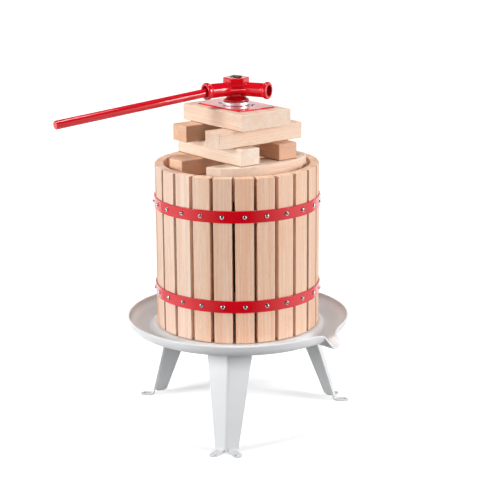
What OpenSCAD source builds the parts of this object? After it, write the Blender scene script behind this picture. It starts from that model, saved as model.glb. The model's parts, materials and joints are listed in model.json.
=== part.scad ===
// Fruit press: a slatted beech basket in a steel tray on three folded legs.
// A red press head turns down a fixed spindle and pushes a stack of beech
// blocks onto two half round press plates inside the basket.
// Millimetres. Z is up, the origin is on the floor under the spindle,
// and the front leg points along -Y.

/* [Overall] */
// Height from the floor to the top of the spindle
total_h = 580; // [570:1:640]
// Height of the tray floor that the basket stands on
seat_h = 168.5; // [150:0.5:190]

/* [Basket] */
// Outer diameter of the basket over its staves
basket_d = 270; // [262:1:280]
// Height of the basket
basket_h = 270; // [240:1:285]
// Number of staves round the basket
stave_count = 24; // [20:1:24]
// Width of a stave
stave_w = 29.5; // [24:0.5:31]
// Thickness of a stave
stave_t = 14.5; // [12:0.5:16]
// Rounding of the long edges of a stave
stave_round = 1.8; // [0.5:0.1:3]
// Turn of the first stave away from the front leg
basket_turn = 11.4; // [0:0.1:15]

/* [Hoops] */
// Height of a hoop
hoop_w = 19.5; // [14:0.5:26]
// Thickness of a hoop
hoop_t = 2; // [1:0.1:3]
// Distance from each end of the basket to the middle of its hoop
hoop_inset = 61.5; // [40:0.5:80]
// Diameter of a hoop screw's shank
screw_d = 3.4; // [2.5:0.1:4]
// Diameter of a hoop screw's head
screw_head_d = 6.8; // [5.5:0.1:9]
// Height of a hoop screw's head
screw_head_h = 2.8; // [1.5:0.1:4]
// Length of a hoop screw under its head
screw_len = 12; // [8:0.5:14]

/* [Tray] */
// Outer diameter of the tray
tray_d = 370; // [350:1:400]
// Thickness of the tray's sheet
tray_t = 1.6; // [1:0.1:2.5]
// Diameter of the raised floor under the basket
raised_d = 278; // [272:1:290]
// Depth of the gutter below the raised floor
gutter_drop = 7.5; // [4:0.5:9]
// Height of the rim above the raised floor
rim_rise = 12; // [9:0.5:20]
// Width of the step down from the raised floor
gutter_step = 11; // [8:0.5:14]
// Width of the flat bottom of the gutter
gutter_w = 14; // [8:0.5:16]
// Thickness of the rolled bead round the rim
bead_d = 3.4; // [2.5:0.1:5]
// Direction of the spout, counted from +X
spout_az = -33; // [-45:1:-15]
// Width of the spout at the rim
spout_w = 36; // [24:1:44]
// Width of the spout at its lip
spout_lip_w = 11; // [8:0.5:16]
// Reach of the spout beyond the rim
spout_reach = 20; // [12:1:30]

/* [Legs] */
// Distance from the spindle to a leg's fold at the floor
leg_foot_r = 188; // [175:1:200]
// Distance from the spindle to a leg's fold at the tray
leg_top_r = 142; // [138:1:160]
// Half the width of a leg at the floor
leg_foot_half_w = 18.4; // [14:0.2:24]
// Half the width of a leg at the tray
leg_top_half_w = 38; // [30:0.5:38]
// Angle between the two flanges of a leg
leg_fold = 115; // [100:1:130]
// Outer radius of the fold
leg_fold_r = 6; // [4:0.5:9]
// Thickness of the leg's sheet
leg_t = 2.5; // [2:0.1:3.5]
// Width of a foot tab
tab_w = 16; // [13:0.5:19]
// Distance from a flange to the hole in its foot tab
tab_reach = 14; // [12:0.5:20]
// Diameter of the hole in a foot tab
tab_hole_d = 6; // [4:0.5:8]
// Width of the lug at the top of a leg
lug_w = 52; // [44:1:60]
// Length of the lug under the base plate
lug_under = 34; // [30:1:41]

/* [Base hardware] */
// Gap between the base plate under the tray and the edges of the legs
base_plate_clear = 5.3; // [4:0.1:9]
// Thickness of the base plate
base_plate_t = 3; // [2:0.1:4]
// Diameter of a leg bolt
leg_bolt_d = 6; // [5:0.5:8]
// Distance from the edge of the base plate to a leg bolt
leg_bolt_inset = 19; // [15:0.5:22]
// Distance between the two bolts of a leg
leg_bolt_gap = 28; // [24:1:34]
// Width across the flats of a leg bolt's head and nut
leg_bolt_flats = 10; // [9:0.5:13]
// Height of a leg bolt's head
leg_bolt_head_h = 3.6; // [2.5:0.1:4]
// Height of a leg bolt's nut
leg_nut_h = 5; // [4:0.5:7]

/* [Spindle] */
// Diameter of the spindle over its thread
spindle_d = 20; // [16:0.5:22]
// Diameter of the sleeve round the foot of the spindle
sleeve_d = 32; // [28:0.5:40]
// Height of the sleeve above the tray floor
sleeve_h = 52; // [30:1:70]
// Diameter of the sleeve's flange
flange_d = 64; // [50:1:80]
// Thickness of the sleeve's flange
flange_t = 4; // [3:0.5:6]
// Width across the flats of the base nut
base_nut_flats = 30; // [28:1:36]
// Height of the base nut
base_nut_h = 16; // [10:1:20]
// Diameter of the washer above the base nut
base_washer_d = 44; // [38:1:50]
// Thickness of the washer above the base nut
base_washer_t = 3; // [2:0.5:4]
// Length of spindle below the base nut
spindle_tail = 4; // [2:1:10]

/* [Wooden stack] */
// Turn of the stack, counted from +X
stack_turn = 44.5; // [30:0.5:60]
// Thickness of each block, board and press plate
block_t = 27; // [20:0.5:32]
// Length of a beam
beam_len = 170; // [150:1:176]
// Width of a beam
beam_w = 37; // [28:0.5:40]
// Distance from the spindle to the middle of the front upper beam
upper_front_r = 46; // [32:0.5:48]
// Distance from the spindle to the middle of the back upper beam
upper_back_r = 41; // [32:0.5:48]
// Distance from the spindle to the middle of each lower beam
lower_beam_r = 38.5; // [32:0.5:48]
// Length of the top block
top_block_len = 158; // [130:1:170]
// Width of the top block
top_block_w = 99; // [80:1:110]
// Rounding of the edges of the wooden pieces
wood_round = 1.5; // [0.5:0.1:3]
// Diameter of the hole for the spindle in the wood
wood_hole_d = 26; // [24:0.5:30]
// Gap between the half round press plates and the staves round them
press_clear = 7.9; // [4:0.1:15]
// Gap between the two press plates
press_gap = 3; // [2:0.5:8]
// Half the length of the front press board
front_board_half = 98; // [80:1:100]
// Width of the front press board
front_board_w = 49; // [40:1:50]
// Distance from the spindle to the front press board
front_board_r = 46; // [30:1:47]
// Half the length of the back press board
back_board_half = 101; // [80:1:104]
// Width of the back press board
back_board_w = 74; // [60:1:76]
// Distance from the spindle to the back press board
back_board_r = 14.4; // [12:0.2:20]

/* [Pressure plate] */
// Length of the pressure plate
plate_len = 110; // [90:1:126]
// Width of the pressure plate
plate_w = 72; // [60:1:90]
// Thickness of the pressure plate
plate_t = 2.5; // [2:0.1:4]
// Diameter of the thrust ring
ring_d = 44; // [36:0.5:50]
// Height of the thrust ring
ring_h = 5.7; // [4:0.1:8]
// Distance from the spindle to a plate screw
plate_screw_r = 29; // [28:0.5:31]
// Direction of the first plate screw from the stack's own axis
plate_screw_turn = -61; // [-75:1:-50]
// Diameter of a plate screw's head
plate_screw_head_d = 7.5; // [5:0.5:9]
// Length of a plate screw under its head
plate_screw_len = 22; // [12:1:24]

/* [Press head] */
// Height of the press head
head_h = 37.5; // [34:0.5:44]
// Height of the spindle above the press head
tip_h = 3; // [1:0.5:10]
// Width across the flats of the head's six sided boss
boss_flats = 37.4; // [32:0.2:42]
// Height of the six sided boss
boss_h = 12; // [8:0.5:14]
// Diameter of the foot of the head
foot_d = 40; // [36:0.5:43]
// Height of the rim of the foot
foot_h = 3.5; // [2:0.5:5]
// Diameter of the neck above the foot
neck_d = 29; // [26:0.5:32]
// Direction of the socket that holds the bar, counted from +X
arm_az = 219.5; // [200:0.5:240]
// Reach of each socket arm from the spindle
arm_reach = 59.5; // [54:0.5:66]
// Height of the middle of the arms above the foot of the head
arm_h = 20; // [16:0.5:22]
// Diameter of a socket arm
arm_d = 23.5; // [22:0.5:26]
// Diameter of the collar at the mouth of a socket arm
collar_d = 28; // [26:0.5:32]
// Width of the collar
collar_w = 7; // [5:0.5:10]
// Diameter of a socket
socket_d = 18.5; // [17:0.5:20]
// Distance from the spindle to the bottom of a socket
socket_floor_r = 15; // [14:0.5:18]

/* [Handle bar] */
// Diameter of the handle bar
bar_d = 14; // [10:0.5:14.5]
// Length of the handle bar
bar_len = 312; // [240:1:340]
// Slope of the bar as it rests in its loose socket
bar_droop = 5.2; // [3:0.1:5.4]
// Distance from the spindle to the inner end of the bar
bar_in_r = 16.5; // [16:0.5:24]
// Diameter of the cross hole near the end of the bar
bar_hole_d = 6.5; // [4:0.5:8]
// Distance from the end of the bar to its cross hole
bar_hole_inset = 13; // [8:0.5:20]

/* [Hidden] */
STAVES = [for (i = [1:stave_count]) str("stave_", i < 10 ? "0" : "", i)];

// Colours, as the photograph shows them
beech = [0.93, 0.79, 0.65];
painted_red = [0.79, 0.08, 0.13];
painted_white = [0.87, 0.88, 0.89];
steel = [0.68, 0.69, 0.71];
dark_steel = [0.30, 0.30, 0.32];

// Smoothness of true round faces and of the spout's hulls
round_fn = 96;
hull_fn = 32;
// Steps in a rounded edge, in the tray's curves and in a leg's fold
edge_steps = 4;
curve_steps = 7;
fold_steps = 5;
// Overrun of a cut past the face that it cuts
over = 1;
// Gap between resting faces that come apart in use
rest_gap = 0.3;
// Radial clearance of a screw, bolt or spindle in its hole
fit_gap = 0.05;
// Radial clearance of the thrust ring round the spindle
ring_gap = 1;
// Angle between two legs, and between two socket arms
third = 120;
leg_az = -90;

basket_r = basket_d/2;
basket_z = seat_h + rest_gap;
basket_top = basket_z + basket_h;
// The flat staves touch the hoop with their long edges
stave_face_r = sqrt(pow(basket_r, 2) - pow(stave_w/2 - stave_round, 2));
stave_pitch = 360/stave_count;
hoop_out_r = basket_r + hoop_t;
hoop_levels = [basket_top - hoop_inset, basket_z + hoop_inset];
// A screw's head stands on a short neck and rises in a dome round its recess
screw_neck_h = 0.5;
screw_neck_share = 0.78;
screw_dome_shares = [[1, 0], [1, 0.35], [0.9, 0.62], [0.68, 0.86], [0.36, 1]];
screw_recess_d = 2.4;
screw_recess_h = 1.4;

tray_r = tray_d/2;
gutter_z = seat_h - gutter_drop;
rim_z = seat_h + rim_rise;
raised_r = raised_d/2;
gutter_in_r = raised_r + gutter_step;
gutter_out_r = gutter_in_r + gutter_w;
bead_r = bead_d/2;
wall_run = tray_r - bead_r - gutter_out_r;
wall_rise = rim_z - bead_r - gutter_z;
tray_under_z = gutter_z - tray_t;
spout_in_r = gutter_out_r - gutter_w/2;
spout_out_r = tray_r + spout_reach;
// Fall of the spout's floor from the gutter to the lip
spout_fall = 2;
// Height of the lip's edge above the floor of the spout there
spout_lip_h = 4;

leg_top_z = tray_under_z;
leg_half_fold = leg_fold/2;
leg_lean = atan((leg_foot_r - leg_top_r)/leg_top_z);
// The base plate ends short of the inner corner of each flange's edge
leg_edge = fold_line(leg_top_half_w, leg_t)[0];
base_plate_r = norm([leg_top_r + leg_edge[0], leg_edge[1]]) - base_plate_clear;
leg_bolt_r = base_plate_r - leg_bolt_inset;
lug_in_r = base_plate_r - lug_under;
// Gap between the base plate and the level of the gutter above it
plate_gap = 0.2;
base_plate_z = tray_under_z - plate_gap - base_plate_t;
nut_corner = 1/cos(30);
bolt_top_z = base_plate_z + base_plate_t + leg_bolt_head_h;
// Length of bolt that stands out below its nut
bolt_tail = 1;
bolt_len = base_plate_t + leg_t + leg_nut_h + bolt_tail;

spindle_r = spindle_d/2;
base_nut_z = base_plate_z - base_washer_t - base_nut_h;
spindle_z = base_nut_z - spindle_tail;
tip_chamfer = 1.2;

head_z = total_h - tip_h - head_h;
ring_z = head_z - rest_gap - ring_h;
plate_z = ring_z - plate_t;
top_block_z = plate_z - block_t;
upper_beam_z = top_block_z - block_t;
lower_beam_z = upper_beam_z - block_t;
board_z = lower_beam_z - block_t;
press_plate_z = board_z - block_t;
press_r = stave_face_r - stave_t - press_clear;
plate_screw_d = 4;
plate_screw_head_h = 2.2;

// Outlines of half a press board, from its straight inner edge to the middle
// of its outer edge, as shares of its half length and of its width
front_board_shares = [[1, 0], [0.9, 0.52], [0.64, 0.87], [0.28, 1]];
back_board_shares = [[1, 0], [1, 0.46], [0.64, 0.9], [0.4, 1]];

arm_z = head_z + arm_h;
boss_chamfer = 1.2;
neck_top_h = head_h - boss_h/2;
flare_top_h = 13;
bar_chamfer = 0.8;
bar_mouth_z = arm_z - socket_d/2 + bar_d/2/cos(bar_droop) + rest_gap/2;
bar_in_z = bar_mouth_z + (arm_reach - bar_in_r)*tan(bar_droop);

// Points of a rectangle with rounded corners, centred on the origin
function round_rect(w, d, r) = [
    for (c = [0:3])
        for (i = [0:edge_steps])
            let (a = 90*c + 90*i/edge_steps,
                sx = (c == 0 || c == 3) ? 1 : -1,
                sy = (c < 2) ? 1 : -1)
            [sx*(w/2 - r) + r*cos(a), sy*(d/2 - r) + r*sin(a)]];

// Upper face of the tray's sheet from the spindle hole to the rim, as [r, z]
function tray_line() = concat(
    [[spindle_r + fit_gap, seat_h], [raised_r, seat_h]],
    [for (i = [1:curve_steps - 1])
        let (s = i/curve_steps)
        [raised_r + gutter_step*s, seat_h - gutter_drop*(1 - cos(180*s))/2]],
    [[gutter_in_r, gutter_z], [gutter_out_r, gutter_z]],
    [for (i = [1:curve_steps])
        let (a = 90*i/curve_steps)
        [gutter_out_r + wall_run*sin(a), gutter_z + wall_rise*(1 - cos(a))]]);

// Direction of a line at one of its points, from the points beside it
function heading(p, i) =
    let (a = p[max(i - 1, 0)], b = p[min(i + 1, len(p) - 1)])
    (b - a)/norm(b - a);

// Lower face of a sheet of thickness t whose upper face is the line p
function under_line(p, t) = [
    for (i = [0:len(p) - 1])
        let (h = heading(p, i))
        p[i] + t*[h[1], -h[0]]];

function turned_back(p) = [for (i = [len(p) - 1:-1:0]) p[i]];

// Distance from the spindle to a leg's fold, and half the leg's width, at height z
function leg_r(z) = leg_foot_r + (leg_top_r - leg_foot_r)*z/leg_top_z;
function leg_half_w(z) = leg_foot_half_w + (leg_top_half_w - leg_foot_half_w)*z/leg_top_z;

// Line across a folded leg at a depth below its outer face, as [distance from the
// fold's corner, place across], from one edge to the other at half_w
function fold_line(half_w, depth) =
    let (h = leg_half_fold,
        r = leg_fold_r - depth,
        end = half_w - depth*cos(h),
        swing = 90 - h)
    concat(
        [[-half_w/tan(h) - depth*sin(h), -end]],
        [for (i = [0:fold_steps])
            let (a = 2*swing*i/fold_steps - swing)
            [r*cos(a) - leg_fold_r/sin(h), r*sin(a)]],
        [[-half_w/tan(h) - depth*sin(h), end]]);

// Places of the leg bolts round the spindle
function leg_bolt_places() = [
    for (k = [0:2])
        for (side = [-1, 1])
            [leg_az + third*k, side*leg_bolt_gap/2]];

module round_bar(r, z0, z1) {
    translate([0, 0, z0]) cylinder(r = r, h = z1 - z0, $fn = round_fn);
}

module hex_prism(flats, z0, z1) {
    translate([0, 0, z0]) cylinder(d = flats*nut_corner, h = z1 - z0, $fn = 6);
}

// Turns a piece that faces +X to azimuth az round the spindle
module at_az(az) {
    rotate([0, 0, az]) children();
}

module spout_hull(inset, lift) {
    floor_r = spout_w/2 - inset;
    lip_r = spout_lip_w/2 - inset;
    hull() {
        translate([spout_in_r, 0, tray_under_z + inset + floor_r])
            rotate([0, 90, 0]) cylinder(r = floor_r, h = tray_t, $fn = hull_fn);
        translate([spout_in_r, 0, tray_under_z + inset + floor_r + lift])
            rotate([0, 90, 0]) cylinder(r = floor_r, h = tray_t, $fn = hull_fn);
        translate([spout_out_r - tray_t + lift, 0, tray_under_z - spout_fall + inset + lip_r])
            rotate([0, 90, 0]) cylinder(r = lip_r, h = tray_t, $fn = hull_fn);
        translate([spout_out_r - tray_t + lift, 0, tray_under_z - spout_fall + inset + lip_r + lift])
            rotate([0, 90, 0]) cylinder(r = lip_r, h = tray_t, $fn = hull_fn);
    }
}

// The space above the spout's sloping edges, from the rim down to the lip
module above_spout() {
    lip_edge_z = tray_under_z - spout_fall + tray_t + spout_lip_h;
    start_r = tray_r - bead_d;
    rotate([90, 0, 0]) linear_extrude(height = spout_w + 2*over, center = true)
        polygon([[spout_in_r - over, rim_z], [start_r, rim_z],
            [spout_out_r + over, lip_edge_z], [spout_out_r + over, rim_z + spout_w],
            [spout_in_r - over, rim_z + spout_w]]);
}

module tray() {
    line = tray_line();
    color(painted_white) union() {
        difference() {
            union() {
                rotate_extrude($fn = round_fn)
                    polygon(concat(line, turned_back(under_line(line, tray_t))));
                translate([0, 0, rim_z - bead_r])
                    rotate_extrude($fn = round_fn)
                        translate([tray_r - bead_r, 0]) circle(r = bead_r, $fn = hull_fn);
            }
            at_az(spout_az) intersection() {
                spout_hull(tray_t, spout_w);
                translate([gutter_out_r, -spout_w, tray_under_z + tray_t])
                    cube([spout_out_r, 2*spout_w, 2*spout_w]);
            }
        }
        at_az(spout_az) difference() {
            spout_hull(0, 0);
            spout_hull(tray_t, spout_w);
            above_spout();
            // The spout keeps to the outside of the tray's wall
            rotate([0, 0, -spout_az]) translate([0, 0, tray_under_z - spout_w])
                cylinder(r = gutter_out_r + wall_run/2, h = 2*spout_w + wall_rise, $fn = round_fn);
        }
    }
}

module base_plate() {
    color(painted_white) difference() {
        round_bar(base_plate_r, base_plate_z, base_plate_z + base_plate_t);
        round_bar(spindle_r + fit_gap, base_plate_z - over, base_plate_z + base_plate_t + over);
        for (p = leg_bolt_places()) at_az(p[0]) translate([leg_bolt_r, p[1], 0])
            round_bar(leg_bolt_d/2 + fit_gap, base_plate_z - over, base_plate_z + base_plate_t + over);
    }
}

module base_spacer() {
    color(steel) difference() {
        round_bar(flange_d/2, base_plate_z + base_plate_t, seat_h - tray_t);
        round_bar(spindle_r + fit_gap, base_plate_z, seat_h);
    }
}

// The folded sheet, cut to the leg's outline as seen from outside
module leg_flanges() {
    wide = 2*leg_top_half_w;
    intersection() {
        translate([leg_foot_r, 0, 0]) rotate([0, -leg_lean, 0])
            translate([0, 0, -leg_top_z/2]) linear_extrude(height = 2*leg_top_z)
                polygon(concat(fold_line(wide, 0), turned_back(fold_line(wide, leg_t))));
        rotate([90, 0, 90]) linear_extrude(height = leg_foot_r + wide)
            polygon([[-leg_foot_half_w, 0], [leg_foot_half_w, 0],
                [leg_top_half_w, leg_top_z], [-leg_top_half_w, leg_top_z]]);
    }
}

module foot_tab(side) {
    translate([leg_foot_r - leg_foot_half_w/2/tan(leg_half_fold), side*leg_foot_half_w/2, 0])
        rotate([0, 0, side*(90 - leg_half_fold)]) difference() {
            union() {
                translate([-leg_t/2, -tab_w/2, 0]) cube([leg_t/2 + tab_reach, tab_w, leg_t]);
                translate([tab_reach, 0, 0]) cylinder(d = tab_w, h = leg_t, $fn = round_fn);
            }
            translate([tab_reach, 0, -over])
                cylinder(d = tab_hole_d, h = leg_t + 2*over, $fn = round_fn);
        }
}

module leg_lug() {
    z = base_plate_z - leg_t;
    line = [for (p = fold_line(leg_half_w(z), leg_t/2)) [leg_r(z) + p[0], p[1]]];
    translate([0, 0, z]) difference() {
        linear_extrude(height = leg_t)
            polygon(concat([[lug_in_r, -lug_w/2]], line, [[lug_in_r, lug_w/2]]));
        for (side = [-1, 1]) translate([leg_bolt_r, side*leg_bolt_gap/2, -over])
            cylinder(r = leg_bolt_d/2 + fit_gap, h = leg_t + 2*over, $fn = round_fn);
    }
}

module leg(turn) {
    color(painted_white) at_az(leg_az + turn) union() {
        leg_flanges();
        foot_tab(-1);
        foot_tab(1);
        leg_lug();
    }
}

module leg_bolts() {
    color(steel) for (p = leg_bolt_places()) at_az(p[0]) translate([leg_bolt_r, p[1], 0]) {
        hex_prism(leg_bolt_flats, base_plate_z + base_plate_t, bolt_top_z);
        round_bar(leg_bolt_d/2, base_plate_z + base_plate_t - bolt_len, base_plate_z + base_plate_t + over);
    }
}

module leg_nuts() {
    color(steel) for (p = leg_bolt_places()) at_az(p[0]) translate([leg_bolt_r, p[1], 0])
        difference() {
            hex_prism(leg_bolt_flats, base_plate_z - leg_t - leg_nut_h, base_plate_z - leg_t);
            round_bar(leg_bolt_d/2 + fit_gap, base_plate_z - leg_t - leg_nut_h - over, base_plate_z);
        }
}

module spindle() {
    color(dark_steel) rotate_extrude($fn = round_fn)
        polygon([[0, spindle_z], [spindle_r - tip_chamfer, spindle_z],
            [spindle_r, spindle_z + tip_chamfer], [spindle_r, total_h - tip_chamfer],
            [spindle_r - tip_chamfer, total_h], [0, total_h]]);
}

module spindle_sleeve() {
    color(steel) difference() {
        union() {
            round_bar(flange_d/2, seat_h, seat_h + flange_t);
            round_bar(sleeve_d/2, seat_h, seat_h + sleeve_h);
        }
        round_bar(spindle_r + fit_gap, seat_h - over, seat_h + sleeve_h + over);
    }
}

module base_washer() {
    color(steel) difference() {
        round_bar(base_washer_d/2, base_plate_z - base_washer_t, base_plate_z);
        round_bar(spindle_r + fit_gap, base_nut_z, base_plate_z + over);
    }
}

module base_nut() {
    color(steel) difference() {
        hex_prism(base_nut_flats, base_nut_z, base_nut_z + base_nut_h);
        round_bar(spindle_r + fit_gap, base_nut_z - over, base_nut_z + base_nut_h + over);
    }
}

// Places of the staves, and of the screws that hold them
function stave_az(i) = leg_az + basket_turn + stave_pitch*i;

module stave(i) {
    color(beech) at_az(stave_az(i)) difference() {
        translate([stave_face_r - stave_t/2, 0, basket_z]) linear_extrude(height = basket_h)
            polygon(round_rect(stave_t, stave_w, stave_round));
        for (z = hoop_levels) translate([hoop_out_r - screw_len - over, 0, z])
            rotate([0, 90, 0])
                cylinder(r = screw_d/2 + fit_gap, h = screw_len + 2*over, $fn = round_fn);
    }
}

module hoop(level) {
    color(painted_red) difference() {
        round_bar(hoop_out_r, level - hoop_w/2, level + hoop_w/2);
        round_bar(basket_r, level - hoop_w/2 - over, level + hoop_w/2 + over);
        for (i = [0:stave_count - 1]) at_az(stave_az(i))
            translate([basket_r - over, 0, level]) rotate([0, 90, 0])
                cylinder(r = screw_d/2 + fit_gap, h = hoop_t + 2*over, $fn = round_fn);
    }
}

// A pan head screw along +Z, with its head above the origin and its shank below
module pan_screw(dome_r, dome_h, shank_r, shank_len) {
    difference() {
        rotate_extrude($fn = hull_fn) polygon(concat(
            [[0, -shank_len], [shank_r, -shank_len], [shank_r, 0]],
            [[dome_r*screw_neck_share, 0], [dome_r*screw_neck_share, screw_neck_h]],
            [for (s = screw_dome_shares)
                [dome_r*s[0], screw_neck_h + (dome_h - screw_neck_h)*s[1]]],
            [[0, dome_h]]));
        translate([0, 0, dome_h - screw_recess_h])
            cylinder(d = screw_recess_d, h = screw_recess_h + over, $fn = hull_fn);
    }
}

module hoop_screws(level) {
    color(steel) for (i = [0:stave_count - 1]) at_az(stave_az(i))
        translate([hoop_out_r, 0, level]) rotate([0, 90, 0])
            pan_screw(screw_head_d/2, screw_head_h, screw_d/2, screw_len);
}

// Half of the press plate, on the side given by side
module press_plate(side) {
    color(beech) at_az(stack_turn) difference() {
        round_bar(press_r, press_plate_z, press_plate_z + block_t);
        round_bar(wood_hole_d/2, press_plate_z - over, press_plate_z + block_t + over);
        translate([-basket_r, side > 0 ? press_gap/2 - basket_d : -press_gap/2, press_plate_z - over])
            cube([basket_d, basket_d, block_t + 2*over]);
    }
}

// A press board with cut corners whose inner edge lies off from the spindle
module press_board(side, half_len, w, off, shares) {
    half = [for (s = shares) [half_len*s[0], off + w*s[1]]];
    other = turned_back([for (p = half) [-p[0], p[1]]]);
    color(beech) at_az(stack_turn) translate([0, 0, board_z]) linear_extrude(height = block_t)
        polygon([for (p = concat(half, other)) [p[0], side*p[1]]]);
}

// A rectangular beam whose long edges are rounded
module beam(turn, off, z) {
    color(beech) at_az(stack_turn + turn) translate([0, off, z + block_t/2])
        rotate([90, 0, 90]) linear_extrude(height = beam_len, center = true)
            polygon(round_rect(beam_w, block_t, wood_round));
}

module top_block() {
    color(beech) at_az(stack_turn) difference() {
        translate([0, 0, top_block_z]) linear_extrude(height = block_t)
            polygon(round_rect(top_block_w, top_block_len, wood_round));
        round_bar(wood_hole_d/2, top_block_z - over, top_block_z + block_t + over);
        plate_screw_places()
            round_bar(plate_screw_d/2 + fit_gap, plate_z - plate_screw_len - over, plate_z + over);
    }
}

module plate_screw_places() {
    for (k = [0, 1]) rotate([0, 0, plate_screw_turn + 180*k]) translate([plate_screw_r, 0, 0])
        children();
}

module pressure_plate() {
    color(painted_red) at_az(stack_turn) difference() {
        translate([0, 0, plate_z]) linear_extrude(height = plate_t)
            polygon(round_rect(plate_w, plate_len, wood_round));
        round_bar(wood_hole_d/2, plate_z - over, plate_z + plate_t + over);
        plate_screw_places()
            round_bar(plate_screw_d/2 + fit_gap, plate_z - over, plate_z + plate_t + over);
    }
}

module plate_screws() {
    color(steel) at_az(stack_turn) plate_screw_places() translate([0, 0, plate_z + plate_t])
        pan_screw(plate_screw_head_d/2, plate_screw_head_h, plate_screw_d/2, plate_screw_len);
}

module thrust_ring() {
    color(steel) difference() {
        round_bar(ring_d/2, ring_z, ring_z + ring_h);
        round_bar(spindle_r + ring_gap, ring_z - over, ring_z + ring_h + over);
    }
}

module press_head() {
    color(painted_red) difference() {
        union() {
            translate([0, 0, head_z]) rotate_extrude($fn = round_fn)
                polygon(concat([[0, 0], [foot_d/2, 0], [foot_d/2, foot_h]],
                    [for (i = [1:edge_steps])
                        let (a = 90*i/edge_steps)
                        [foot_d/2 - (foot_d - neck_d)/2*sin(a),
                            foot_h + (flare_top_h - foot_h)*(1 - cos(a))]],
                    [[neck_d/2, neck_top_h], [0, neck_top_h]]));
            at_az(arm_az + third/4) {
                hex_prism(boss_flats, head_z + head_h - boss_h, head_z + head_h - boss_chamfer);
                hex_prism(boss_flats - 2*boss_chamfer, head_z + head_h - boss_h, head_z + head_h);
            }
            for (k = [0:2]) at_az(arm_az + third*k) translate([0, 0, arm_z]) rotate([0, 90, 0]) {
                round_bar(arm_d/2, 0, arm_reach);
                round_bar(collar_d/2, arm_reach - collar_w, arm_reach);
            }
        }
        round_bar(spindle_r + fit_gap, head_z - over, head_z + head_h + over);
        for (k = [0:2]) at_az(arm_az + third*k) translate([0, 0, arm_z]) rotate([0, 90, 0])
            round_bar(socket_d/2, socket_floor_r, arm_reach + over);
    }
}

module handle_bar() {
    r = bar_d/2;
    color(painted_red) at_az(arm_az) translate([bar_in_r, 0, bar_in_z])
        rotate([0, 90 + bar_droop, 0]) difference() {
            rotate_extrude($fn = round_fn)
                polygon([[0, 0], [r - bar_chamfer, 0], [r, bar_chamfer], [r, bar_len - bar_chamfer],
                    [r - bar_chamfer, bar_len], [0, bar_len]]);
            translate([0, 0, bar_len - bar_hole_inset]) rotate([0, 90, 0])
                cylinder(d = bar_hole_d, h = bar_d + 2*over, center = true, $fn = round_fn);
        }
}

tray();
base_plate();
base_spacer();
leg(0);  // leg_front
leg(third);  // leg_right
leg(2*third);  // leg_left
leg_bolts();
leg_nuts();
spindle();
spindle_sleeve();
base_washer();
base_nut();
for (i = [0:stave_count - 1])
    stave(i);
hoop(hoop_levels[0]);  // hoop_upper
hoop(hoop_levels[1]);  // hoop_lower
hoop_screws(hoop_levels[0]);  // hoop_screws_upper
hoop_screws(hoop_levels[1]);  // hoop_screws_lower
press_plate(-1);  // press_plate_front
press_plate(1);  // press_plate_back
press_board(-1, front_board_half, front_board_w, front_board_r, front_board_shares);  // press_board_front
press_board(1, back_board_half, back_board_w, back_board_r, back_board_shares);  // press_board_back
beam(90, lower_beam_r, lower_beam_z);  // lower_beam_left
beam(90, -lower_beam_r, lower_beam_z);  // lower_beam_right
beam(0, -upper_front_r, upper_beam_z);  // upper_beam_front
beam(0, upper_back_r, upper_beam_z);  // upper_beam_back
top_block();
pressure_plate();
plate_screws();
thrust_ring();
press_head();
handle_bar();
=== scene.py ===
# %% [markdown]
# A fruit press, dressed in cells.
# The construction of the press is already made at its real size, and it is loaded
# first as a fixed frame. The cells below lay the visible pieces over it one after
# another: camera, finishes, basket, tray, legs, spindle, wooden stack and press head.
# Every piece rides on the part of the press that carries it, so it moves with it.

# %% Load the frame of the press
import json
import math
import random

import bmesh
import bpy
from mathutils import Matrix, Vector


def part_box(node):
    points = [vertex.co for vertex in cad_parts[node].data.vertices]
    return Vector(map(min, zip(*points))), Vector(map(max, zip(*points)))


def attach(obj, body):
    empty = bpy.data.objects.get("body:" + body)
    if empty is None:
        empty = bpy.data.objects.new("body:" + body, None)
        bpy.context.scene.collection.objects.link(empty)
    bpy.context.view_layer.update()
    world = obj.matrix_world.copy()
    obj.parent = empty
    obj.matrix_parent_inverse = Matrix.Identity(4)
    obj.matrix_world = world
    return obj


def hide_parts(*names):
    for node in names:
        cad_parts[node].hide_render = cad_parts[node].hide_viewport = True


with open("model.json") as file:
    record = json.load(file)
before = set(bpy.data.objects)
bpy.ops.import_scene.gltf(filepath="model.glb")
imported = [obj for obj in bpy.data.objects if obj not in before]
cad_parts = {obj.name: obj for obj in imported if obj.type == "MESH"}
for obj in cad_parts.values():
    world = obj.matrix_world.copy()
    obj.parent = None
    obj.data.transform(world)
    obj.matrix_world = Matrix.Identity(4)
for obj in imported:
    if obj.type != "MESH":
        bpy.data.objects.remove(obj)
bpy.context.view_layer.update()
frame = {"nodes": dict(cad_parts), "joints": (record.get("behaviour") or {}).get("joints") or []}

MM = 0.001

# %% [markdown]
# The camera comes first, because every later choice is judged through it.
# A product photographer stands well back with a long lens, so that the tray and the
# head are seen at nearly the same scale. One could place the camera by eye. Here its
# place and angles were worked out from the known sizes of the basket and tray, and
# the three angles are written as a photographer would say them: pan, tilt and roll.

# %% Camera
CAMERA_PLACE = Vector((0.2854, -2.5051, 0.9546))
CAMERA_PAN = -0.1052
CAMERA_TILT = 0.2583
CAMERA_ROLL = -0.0062
SENSOR_WIDTH = 36.0
FOCAL_PIXELS = 1567.26
PICTURE_PIXELS = 500


def camera_turn(pan, tilt, roll):
    """The camera's rotation: it looks along +Y at no pan, and tilts downwards."""
    ahead = Vector((math.sin(pan) * math.cos(tilt), math.cos(pan) * math.cos(tilt), -math.sin(tilt)))
    right = Vector((math.cos(pan), -math.sin(pan), 0))
    up = right.cross(ahead)
    rolled_right = math.cos(roll) * right + math.sin(roll) * up
    rolled_up = math.cos(roll) * up - math.sin(roll) * right
    return Matrix((rolled_right, rolled_up, -ahead)).transposed()


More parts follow.
